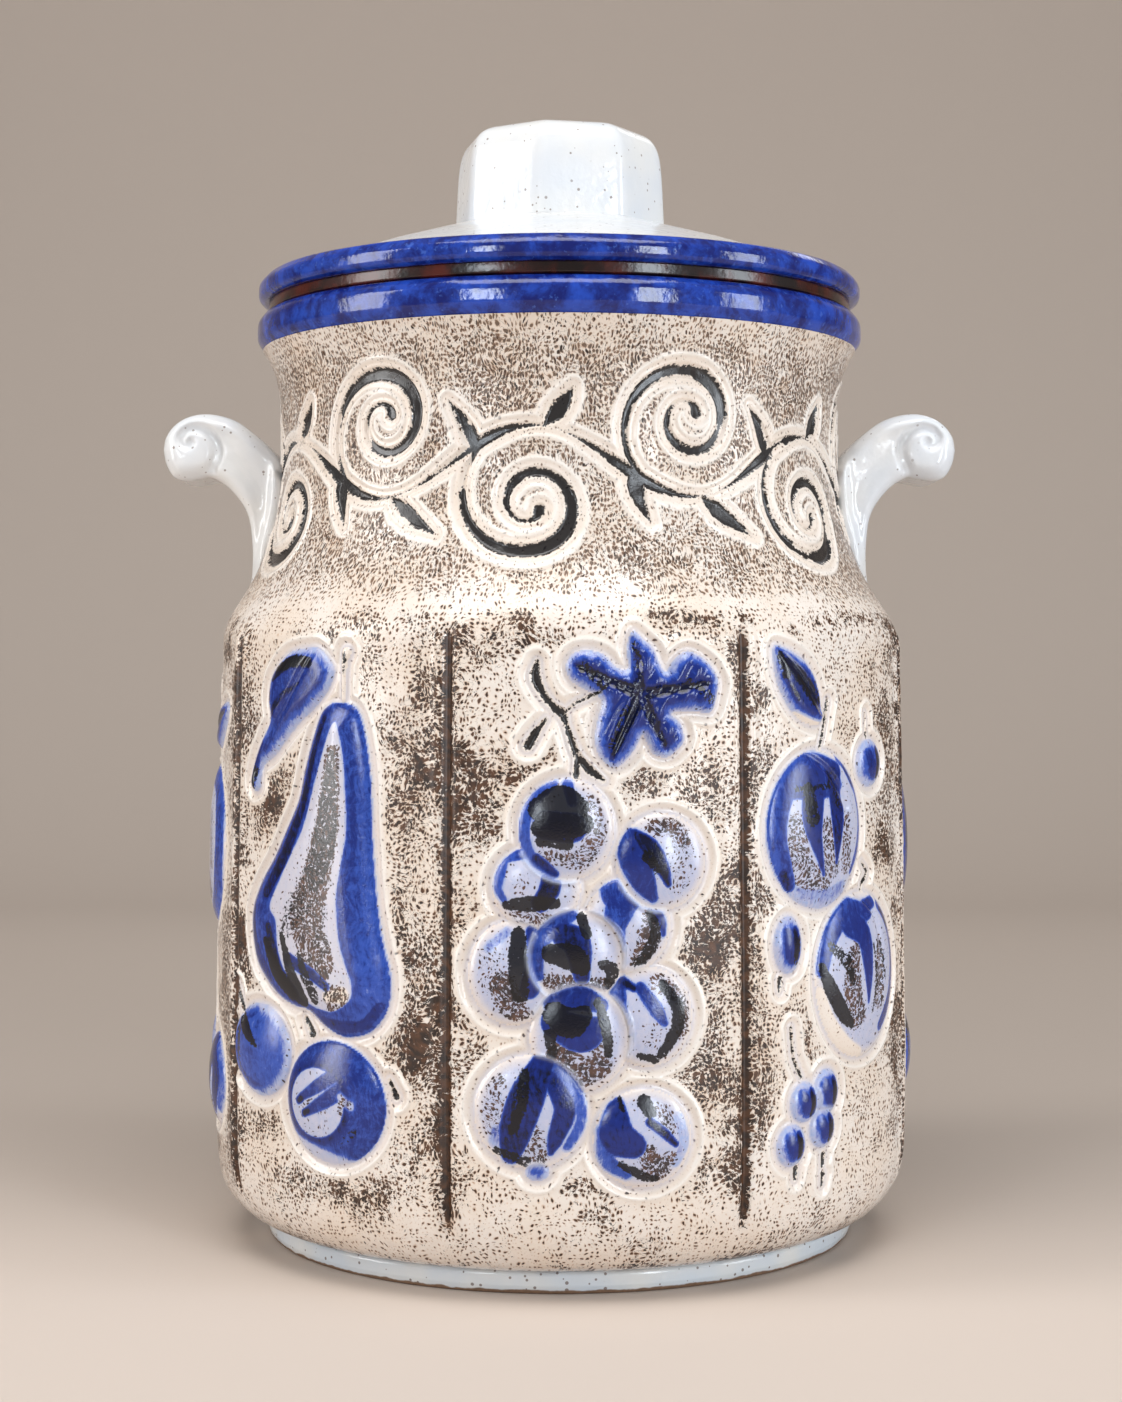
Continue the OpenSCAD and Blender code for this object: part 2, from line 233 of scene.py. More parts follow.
def filleted(corners, radii, steps=6):
    """Closed outline with its corners rounded: at each corner an arc that touches both sides."""
    corners = np.asarray(corners, float)
    out = []
    for k, radius in enumerate(radii):
        here, back, on = corners[k], corners[k - 1], corners[(k + 1) % len(corners)]
        a, b = back - here, on - here
        la, lb = np.linalg.norm(a), np.linalg.norm(b)
        a, b = a / la, b / lb
        half = math.acos(np.clip(a @ b, -1, 1)) / 2
        reach = min(radius / math.tan(half), 0.49 * la, 0.49 * lb) if radius else 0
        if reach < 1e-6:
            out.append(here[None])
            continue
        t = np.linspace(0, 1, steps + 1)[:, None]
        turn = math.pi - 2 * half
        w0, w1 = np.sin((1 - t) * turn) / math.sin(turn), np.sin(t * turn) / math.sin(turn)
        middle = here + (a + b) / np.linalg.norm(a + b) * reach / math.cos(half)
        out.append(middle + w0 * (here + a * reach - middle) + w1 * (here + b * reach - middle))
    return np.vstack(out)


def denser(outline, step):
    """Closed outline with points added so that no straight piece is longer than step."""
    out = []
    for a, b in zip(outline, np.roll(outline, -1, 0)):
        n = max(1, math.ceil(np.linalg.norm(b - a) / step))
        out.append(a + (b - a) * (np.arange(n) / n)[:, None])
    return np.vstack(out)


def turned(name, outline, finish, body, stands_for, step=1.5, around=256, wobble=0.0, seed=1):
    """Ring turned from a closed outline (radius, height), counter-clockwise, round the axis, with a
    hand-thrown wobble of its radius."""
    outline = denser(outline, step)
    azimuth = np.arange(around) / around * 2 * np.pi
    r, z = outline[:, :1], outline[:, 1:]
    x, y = r * np.sin(azimuth), -r * np.cos(azimuth)
    zz = z + 0 * x
    if wobble:
        swell = (clay_noise(x, y, zz, 9.0, seed) - 0.5) * 2 * wobble
        x, y = x + swell * np.sin(azimuth), y - swell * np.cos(azimuth)
    points = np.column_stack([x.ravel(), y.ravel(), zz.ravel()])
    quads = grid_quads(len(outline), around, close_rows=True, close_cols=True)
    return write_piece(name, points, quads, [finish], body, stands_for, weld=True)


# ---------------------------------------------------------------- node helper for finishes

class Glaze:
    """A material and short ways to add the nodes of its pattern."""

    def __init__(self, name, roughness, base=(0.8, 0.8, 0.8)):
        self.material = bpy.data.materials.new(name)
        self.material.use_nodes = True
        self.tree = self.material.node_tree
        self.shader = self.tree.nodes["Principled BSDF"]
        self.shader.inputs["Roughness"].default_value = roughness
        self.shader.inputs["Base Color"].default_value = (*base, 1)
        self.material.diffuse_color = (*base, 1)

    def feed(self, socket, value):
        if isinstance(value, bpy.types.NodeSocket):
            self.tree.links.new(value, socket)
        elif isinstance(value, (tuple, list)) and len(value) == 3 and socket.type == "RGBA":
            socket.default_value = (*value, 1)
        else:
            socket.default_value = value

    def add(self, kind, sockets=None, **settings):
        node = self.tree.nodes.new(kind)
        for key, value in settings.items():
            setattr(node, key, value)
        for key, value in (sockets or {}).items():
            self.feed(node.inputs[key], value)
        return node

    def math(self, operation, a, b=0.0, c=0.0):
        return self.add("ShaderNodeMath", {0: a, 1: b, 2: c}, operation=operation).outputs[0]

    def plus(self, a, b):
        return self.math("ADD", a, b)

    def times(self, a, b):
        return self.math("MULTIPLY", a, b)

    def most(self, a, b):
        return self.math("MAXIMUM", a, b)

    def without(self, a, b):
        """a where b is 0, and 0 where b is 1."""
        return self.times(a, self.math("SUBTRACT", 1.0, b))

    def ramp(self, value, low, high, to_low=0.0, to_high=1.0):
        """Smooth ramp of value from to_low at low to to_high at high."""
        return self.add("ShaderNodeMapRange", {0: value, 1: low, 2: high, 3: to_low, 4: to_high},
                        interpolation_type="SMOOTHSTEP", clamp=True).outputs[0]

    def mix(self, factor, a, b, blend="MIX"):
        node = self.add("ShaderNodeMix", data_type="RGBA", blend_type=blend)
        self.feed(node.inputs[0], factor)
        self.feed(node.inputs[6], a)
        self.feed(node.inputs[7], b)
        return node.outputs[2]

    def attribute(self, name):
        return self.add("ShaderNodeAttribute", attribute_name=name)

    def parts(self, colour):
        return self.add("ShaderNodeSeparateColor", {0: colour}).outputs

    def scaled(self, vector, scale, turn=0.0, shift=(0, 0, 0)):
        return self.add("ShaderNodeMapping", {"Vector": vector, "Scale": scale, "Location": shift,
                                              "Rotation": (0, 0, turn)}).outputs[0]

    def noise(self, vector, scale, detail=2.0, rough=0.5, flat=False):
        node = self.add("ShaderNodeTexNoise", {"Vector": vector, "Scale": scale, "Detail": detail,
                                               "Roughness": rough},
                        noise_dimensions="2D" if flat else "3D")
        return node.outputs

    def cells(self, vector, scale, jitter=1.0, flat=True):
        """Distance to the nearest scattered point, and that point's random colour."""
        node = self.add("ShaderNodeTexVoronoi", {"Vector": vector, "Scale": scale, "Randomness": jitter},
                        voronoi_dimensions="2D" if flat else "3D")
        return node.outputs["Distance"], self.parts(node.outputs["Color"])

    def warped(self, vector, scale, amount):
        """vector pushed about by a noise of this scale, by up to half of amount."""
        push = self.add("ShaderNodeVectorMath", {0: self.noise(vector, scale, 1.0)[1], 1: (0.5, 0.5, 0.5)},
                        operation="SUBTRACT").outputs[0]
        push = self.add("ShaderNodeVectorMath", {0: push, 3: amount}, operation="SCALE").outputs[0]
        return self.add("ShaderNodeVectorMath", {0: vector, 1: push}, operation="ADD").outputs[0]

    def bump(self, height, depth):
        """Bump of the surface by height, in units of depth millimetres."""
        node = self.add("ShaderNodeBump", {"Height": height, "Distance": depth * MM, "Strength": 1.0})
        self.feed(self.shader.inputs["Normal"], node.outputs[0])

    def object_mm(self):
        """Object coordinates in millimetres."""
        coords = self.add("ShaderNodeTexCoord").outputs["Object"]
        return self.scaled(coords, (1000, 1000, 1000))


def pressed_stoneware():
    """Cream glaze over clay pressed with a woven cloth: brown pits where the clay took the stain, and
    cobalt and ink on the fruits, from the fields that the panel carries. The crests of the raised
    lines and banks get a painted highlight, near white on the cream and pale blue on the fruits."""
    g = Glaze("pressed_stoneware", 0.17)
    sheet = g.attribute("sheet").outputs["Vector"]
    ground_and_highlight, brush = g.attribute("ground_and_highlight"), g.attribute("brush")
    # The third channel is the mask of a painted highlight on the crests of raised lines and banks.
    stain, halo, painted_ridge_highlight = list(g.parts(ground_and_highlight.outputs["Color"]))
    dashes = ground_and_highlight.outputs["Alpha"]
    cobalt, ink, crack = list(g.parts(brush.outputs["Color"]))
    motif = brush.outputs["Alpha"]

    loose = g.warped(g.warped(sheet, 0.12, 5.0), 0.7, 0.9)
    grit = g.noise(loose, 1.9, 3.0, 0.6)[0]
    tone = g.noise(sheet, 0.045, 2.0)[0]

    # Round pits in loose columns and rows, some missing where there is little stain
    d1, c1 = g.cells(g.scaled(loose, (0.84, 0.76, 1)), 1.0, 0.7)
    size = g.plus(g.times(c1[0], 0.16), g.math("MULTIPLY_ADD", stain, 0.27, 0.085))
    there = g.ramp(g.math("SUBTRACT", g.math("MULTIPLY_ADD", stain, 1.3, 0.30), c1[1]), -0.04, 0.04)
    edge = g.math("SUBTRACT", g.times(size, there), g.math("MULTIPLY_ADD", grit, 0.22, g.plus(d1, -0.11)))
    pits = g.ramp(edge, -0.02, 0.07)
    warm = g.ramp(edge, -0.24, 0.04)
    # Threads: upright or level dashes, by the place
    d2, c2 = g.cells(g.scaled(loose, (1.0, 0.42, 1), 0.0, (7, 3, 0)), 1.0, 0.8)
    d3, c3 = g.cells(g.scaled(loose, (0.40, 1.05, 1), 0.0, (2, 9, 0)), 1.0, 0.8)
    level = g.ramp(g.noise(sheet, 0.055, 1.0)[0], 0.46, 0.54)
    thread = g.add("ShaderNodeMix", {0: level, 2: d2, 3: d3}).outputs[0]
    wide = g.math("MULTIPLY_ADD", stain, 0.30, g.math("MULTIPLY_ADD", c2[1], 0.22, -0.13))
    threads = g.ramp(g.math("SUBTRACT", wide, thread), -0.02, 0.06)
    # Winding runs, where the stain gathered between the threads
    wind = g.math("ABSOLUTE", g.plus(g.noise(loose, 0.62, 2.5, 0.55)[0], -0.5))
    worms = g.ramp(g.math("SUBTRACT", g.math("MULTIPLY_ADD", stain, 0.058, -0.014), wind), -0.004, 0.008)
    clump = g.ramp(g.math("MULTIPLY_ADD", stain, 0.22, g.noise(loose, 0.9, 3.5, 0.65)[0]), 0.70, 0.735)
    # Slanted dashes of the neck
    lean1, k1 = g.cells(g.scaled(loose, (0.95, 0.45, 1), 0.55), 1.1, 0.9)
    lean2, k2 = g.cells(g.scaled(loose, (0.95, 0.45, 1), -0.5), 1.1, 0.9)
    side = g.ramp(g.noise(sheet, 0.06, 1.0)[0], 0.44, 0.56)
    lean = g.add("ShaderNodeMix", {0: side, 2: lean1, 3: lean2}).outputs[0]
    chance = g.add("ShaderNodeMix", {0: side, 2: k1[0], 3: k2[0]}).outputs[0]
    slant = g.ramp(g.math("SUBTRACT", g.math("MULTIPLY_ADD", stain, 0.34, g.times(chance, 0.2)),
                          g.math("MULTIPLY_ADD", grit, 0.2, g.plus(lean, -0.06))), -0.02, 0.07)
    woven = g.most(g.most(pits, threads), g.most(worms, clump))
    necked = g.most(g.most(slant, g.times(worms, 0.8)), g.times(pits, 0.8))
    dark = g.add("ShaderNodeMix", {0: dashes, 2: woven, 3: necked}).outputs[0]
    ragged = g.math("MULTIPLY_ADD", g.noise(loose, 1.1, 3.0, 0.6)[0], 1.3, -0.65)
    seam = g.ramp(g.plus(crack, ragged), 0.5, 0.62)
    dark = g.most(dark, seam)

    cream = g.mix(g.ramp(tone, 0.35, 0.65), (0.745, 0.640, 0.545), (0.775, 0.705, 0.64))
    toast = g.ramp(g.noise(sheet, 0.09, 3.0)[0], 0.52, 0.7)
    cream = g.mix(g.times(g.times(toast, stain), 0.8), cream, (0.62, 0.44, 0.30))
    cream = g.mix(g.times(warm, 0.6), cream, (0.47, 0.26, 0.13))
    cream = g.mix(g.times(halo, 0.5), cream, (0.78, 0.68, 0.59))
    fired = g.ramp(g.noise(loose, 0.5, 2.0)[0], 0.35, 0.7)
    umber = g.mix(fired, (0.020, 0.009, 0.005), (0.095, 0.038, 0.015))
    colour = g.mix(dark, cream, umber)
    # Painted highlight: near white along the crests of the raised lines and banks.
    colour = g.mix(g.times(painted_ridge_highlight, 0.5), colour, (0.86, 0.83, 0.79))

    inside = g.ramp(g.math("MULTIPLY_ADD", ragged, 0.12, motif), 0.46, 0.54)
    streak = g.noise(g.scaled(loose, (1.5, 0.22, 1)), 1.0, 3.0, 0.6)[0]
    mottle = g.noise(loose, 0.55, 4.0, 0.65)[0]
    thick = g.plus(cobalt, g.times(g.ramp(cobalt, 0.05, 0.5), g.math("MULTIPLY_ADD", streak, 0.34, -0.17)))
    thick = g.plus(thick, g.times(g.ramp(cobalt, 0.02, 0.4), g.math("MULTIPLY_ADD", mottle, 0.44, -0.22)))
    lilac = g.mix(g.ramp(mottle, 0.35, 0.65), (0.30, 0.38, 0.63), (0.47, 0.48, 0.62))
    fruit = g.mix(g.ramp(thick, 0.02, 0.26, 0.0, 0.95), cream, lilac)
    fruit = g.mix(g.times(woven, g.ramp(thick, 0.3, 0.7, 0.95, 0.35)), fruit, umber)
    fruit = g.mix(g.ramp(thick, 0.30, 0.54), fruit, (0.030, 0.080, 0.40))
    fruit = g.mix(g.ramp(thick, 0.52, 0.76), fruit, (0.006, 0.019, 0.165))
    fruit = g.mix(g.ramp(thick, 0.78, 0.98), fruit, (0.0015, 0.003, 0.022))
    blot = g.ramp(g.plus(ink, g.plus(ragged, g.math("MULTIPLY_ADD", streak, 0.5, -0.25))), 0.48, 0.62)
    fruit = g.mix(g.times(blot, 0.97), fruit, (0.003, 0.0028, 0.005))
    # Painted highlight: pale blue along the raised lines on the fruits.
    fruit = g.mix(g.times(painted_ridge_highlight, 0.6), fruit, (0.60, 0.65, 0.78))
    mist = g.ramp(thick, 0.02, 0.2, 0.0, 0.9)
    colour = g.mix(g.times(mist, halo), colour, g.mix(0.5, cream, lilac))
    colour = g.mix(inside, colour, fruit)
    g.feed(g.shader.inputs["Base Color"], colour)
    pitted = g.without(dark, inside)
    g.feed(g.shader.inputs["Roughness"], g.math("MULTIPLY_ADD", pitted, 0.25, 0.14))
    relief = g.math("MULTIPLY_ADD", pitted, -1.0, g.times(grit, 0.35))
    g.bump(relief, 0.14)
    return g.material


def speckled_grey():
    """Pale grey glaze, bluish where it lies thick, with fine iron specks."""
    g = Glaze("speckled_grey", 0.14)
    at = g.object_mm()
    thick = g.ramp(g.noise(at, 0.05, 2.0)[0], 0.3, 0.7)
    colour = g.mix(thick, (0.66, 0.68, 0.71), (0.73, 0.72, 0.70))
    d, c = g.cells(at, 0.55, 1.0, flat=False)
    speck = g.ramp(g.math("SUBTRACT", g.math("MULTIPLY_ADD", c[0], 0.26, -0.02), d), -0.02, 0.03)
    speck = g.times(speck, g.ramp(c[1], 0.25, 0.6))
    colour = g.mix(g.times(speck, 0.7), colour, (0.16, 0.10, 0.07))
    g.feed(g.shader.inputs["Base Color"], colour)
    g.bump(g.noise(at, 0.35, 3.0)[0], 0.12)
    return g.material


def cobalt_rim():
    """Deep cobalt glaze, mottled lighter where it ran thin."""
    g = Glaze("cobalt_rim", 0.12)
    at = g.object_mm()
    cloud = g.noise(g.warped(at, 0.1, 6.0), 0.16, 4.0, 0.65)[0]
    colour = g.mix(g.ramp(cloud, 0.35, 0.68), (0.004, 0.010, 0.12), (0.015, 0.06, 0.40))
    thin = g.ramp(g.noise(at, 0.5, 3.0, 0.6)[0], 0.6, 0.72)
    colour = g.mix(g.times(thin, 0.5), colour, (0.06, 0.14, 0.50))
    g.feed(g.shader.inputs["Base Color"], colour)
    g.bump(g.noise(at, 0.4, 3.0)[0], 0.1)
    return g.material


def iron_brown():
    """Dark iron glaze of the lid's seat, reddish where it is thin."""
    g = Glaze("iron_brown", 0.2)
    at = g.object_mm()
    colour = g.mix(g.ramp(g.noise(at, 0.12, 3.0)[0], 0.35, 0.7), (0.010, 0.004, 0.003), (0.085, 0.012, 0.006))
    g.feed(g.shader.inputs["Base Color"], colour)
    g.bump(g.noise(at, 0.6, 2.0)[0], 0.06)
    return g.material


def inside_glaze():
    """Even cream glaze of the inside, with few specks."""
    g = Glaze("inside_glaze", 0.16)
    at = g.object_mm()
    colour = g.mix(g.ramp(g.noise(at, 0.04, 2.0)[0], 0.3, 0.7), (0.66, 0.60, 0.53), (0.72, 0.67, 0.61))
    d, c = g.cells(at, 0.35, 1.0, flat=False)
    speck = g.ramp(g.math("SUBTRACT", g.times(c[0], 0.16), d), -0.02, 0.03)
    colour = g.mix(g.times(speck, 0.7), colour, (0.16, 0.09, 0.05))
    g.feed(g.shader.inputs["Base Color"], colour)
    g.bump(g.noise(at, 0.3, 2.0)[0], 0.1)
    return g.material


def foot_glaze():
    """The grey glaze of the foot ring, which ends in bare fired clay at the table."""
    g = Glaze("foot_glaze", 0.15)
    at = g.object_mm()
    height = g.add("ShaderNodeSeparateXYZ", {0: at}).outputs[2]
    edge = g.math("MULTIPLY_ADD", g.noise(at, 0.25, 2.0)[0], 1.4, 0.35)
    bare = g.ramp(g.math("SUBTRACT", edge, height), -0.2, 0.2)
    thick = g.ramp(g.noise(at, 0.06, 2.0)[0], 0.3, 0.7)
    colour = g.mix(thick, (0.58, 0.63, 0.68), (0.68, 0.68, 0.66))
    d, c = g.cells(at, 0.5, 1.0, flat=False)
    speck = g.ramp(g.math("SUBTRACT", g.math("MULTIPLY_ADD", c[0], 0.3, -0.04), d), -0.02, 0.03)
    colour = g.mix(g.times(speck, 0.75), colour, (0.12, 0.07, 0.05))
    clay = g.mix(g.noise(at, 1.2, 4.0)[0], (0.10, 0.055, 0.03), (0.26, 0.15, 0.09))
    g.feed(g.shader.inputs["Base Color"], g.mix(bare, colour, clay))
    g.feed(g.shader.inputs["Roughness"], g.math("MULTIPLY_ADD", bare, 0.6, 0.15))
    g.bump(g.noise(at, 0.5, 3.0)[0], 0.1)
    return g.material


stoneware = pressed_stoneware()
grey_glaze = speckled_grey()
blue_glaze = cobalt_rim()
brown_glaze = iron_brown()
inner_glaze = inside_glaze()
foot_finish = foot_glaze()


# ---------------------------------------------------------------- the body's plain shape

def panel_radius(z):
    """Distance from the axis to a panel's middle: even below, drawn in a little towards the top."""
    return 97.9 - 1.7 * np.clip((z - 60) / 105, 0, 1) ** 1.2


def base_radius(z):
    """Round bottom edge: a quarter of an ellipse from the foot ring out to the panels."""
    t = np.clip((z - foot_top) / 31, 0, 1)
    return 83 + 18.6 * np.sqrt(1 - (1 - t)**2)


def neck_radius(z):
    """Waisted neck: the waist's radius plus a power of the way down to the shoulder or up to the lip."""
    down, up = np.clip((WAIST_Z - z) / 57, 0, None), np.clip((z - WAIST_Z) / 22, 0, None)
    return 79.8 + 17.5 * down**2.8 + 5.2 * up**2.8


def body_radius(azimuth, z):
    """Radius of the body at an azimuth in degrees from the front: the least of the bowed panel, the
    neck and the round base, with their meetings rounded."""
    turn = np.radians((azimuth - PANEL_TURN + 22.5) % 45 - 22.5)
    offset = PANEL_BOW - panel_radius(z)
    panel = np.sqrt(PANEL_BOW**2 - (offset * np.sin(turn))**2) - offset * np.cos(turn)
    return blend_min(blend_min(panel, neck_radius(z), 4.5), base_radius(z), 3.5)


def inner_radius(z):
    """Radius of the inside: the chamber, closing to the neck and the mouth."""
    neck = np.where(z < WAIST_Z, neck_radius(z) - 6.8, MOUTH_RADIUS)
    return blend_min(CHAMBER_RADIUS + 0 * z, neck, 4.0)


# ---------------------------------------------------------------- reliefs

class Panel:
    """Fields of one panel on its grid: height in mm, distance to the nearest motif, thickness of the
    cobalt glaze, amount of ink, density of brown specks, and pale ridges, a painted highlight along the
    crests of raised lines."""

    def __init__(self, u, z):
        self.u, self.z = u, z
        self.edge = np.full(u.shape, 9.0)
        self.height, self.cobalt, self.ink, self.specks, self.motif, self.painted_ridge_highlight, self.bare = (
            np.zeros(u.shape) for _ in range(7))

    def lay(self, distance, height, wash=0.2, marks=(), centre=(0, 0), half=(1, 1), smooth=1.8):
        """Lays a motif over what is there: its height, an even wash of cobalt, then its brush marks,
        with a thin raised line where it overlaps another motif, whose crest gets a painted highlight.
        Marks are (glaze, amount, points, half widths) with points in units of half from centre; glaze is
        b cobalt, k ink, s specks or c cream."""
        over = ease(distance, 0.35, -0.35)
        line = bell(distance - 0.1, 0.55) * ease(self.edge, 0.0, -1.5)
        glazes = {"b": np.full(distance.shape, wash), "k": np.zeros(distance.shape),
                  "s": np.zeros(distance.shape), "c": np.zeros(distance.shape)}
        for glaze, amount, points, widths in marks:
            at = np.asarray(points, float) * half + centre
            mark = amount * ease(from_stroke(self.u, self.z, at, widths), 0.7, -0.7)
            glazes[glaze] = np.maximum(glazes[glaze], mark)
        core = ease(distance, -0.2, -smooth)
        glazes["b"] = np.maximum(glazes["b"] - wash, 0) + wash * (0.45 + 0.55 * ease(distance, 0, -3.5))
        self.height = self.height * (1 - over) + height * over + 0.6 * line
        self.cobalt = self.cobalt * (1 - over) + glazes["b"] * over * (1 - glazes["c"])
        self.ink = self.ink * (1 - over) + glazes["k"] * over
        self.specks = self.specks * (1 - over) + glazes["s"] * over * core
        self.bare = self.bare * (1 - over) + glazes["c"] * over
        # Mask of the painted highlight on the crest of the raised line.
        self.painted_ridge_highlight = np.maximum(self.painted_ridge_highlight * (1 - over), line * 0.8)
        self.motif = np.maximum(self.motif, paint(distance))
        self.edge = np.minimum(self.edge, distance)

    def carve(self, distance, depth=0.9):
        """Cuts a dark stroke, such as a twig or a stalk."""
        inside = ease(distance, 0.25, -0.5)
        self.height = self.height * (1 - inside) - depth * inside
        self.ink = np.maximum(self.ink * (1 - inside), paint(distance, 0.8))
        self.motif = np.maximum(self.motif, paint(distance, 0.8))
        self.cobalt = self.cobalt * (1 - inside)
        self.edge = np.minimum(self.edge, distance)


def dome(m, lift, power=0.7):
    """Cap over an outline: lift x (1 - m^2)^power, where m is 0 in the middle and 1 on the edge."""
    return lift * np.clip(1 - m * m, 0, 1) ** power


def pillow(distance, width, lift):
    """Rounded plateau: rises over this width inside the outline and is level beyond."""
    s = np.clip(-distance / width, 0, 1)
    return lift * (1 - (1 - s)**2) ** 0.7


def berry(panel, centre, half, marks, wash=0.2, lift=2.9):
    """A round fruit: a dome with its wash and brush marks."""
    distance, m = from_ellipse(panel.u, panel.z, centre, half)
    panel.lay(distance, dome(m, lift), wash, marks, centre, half)


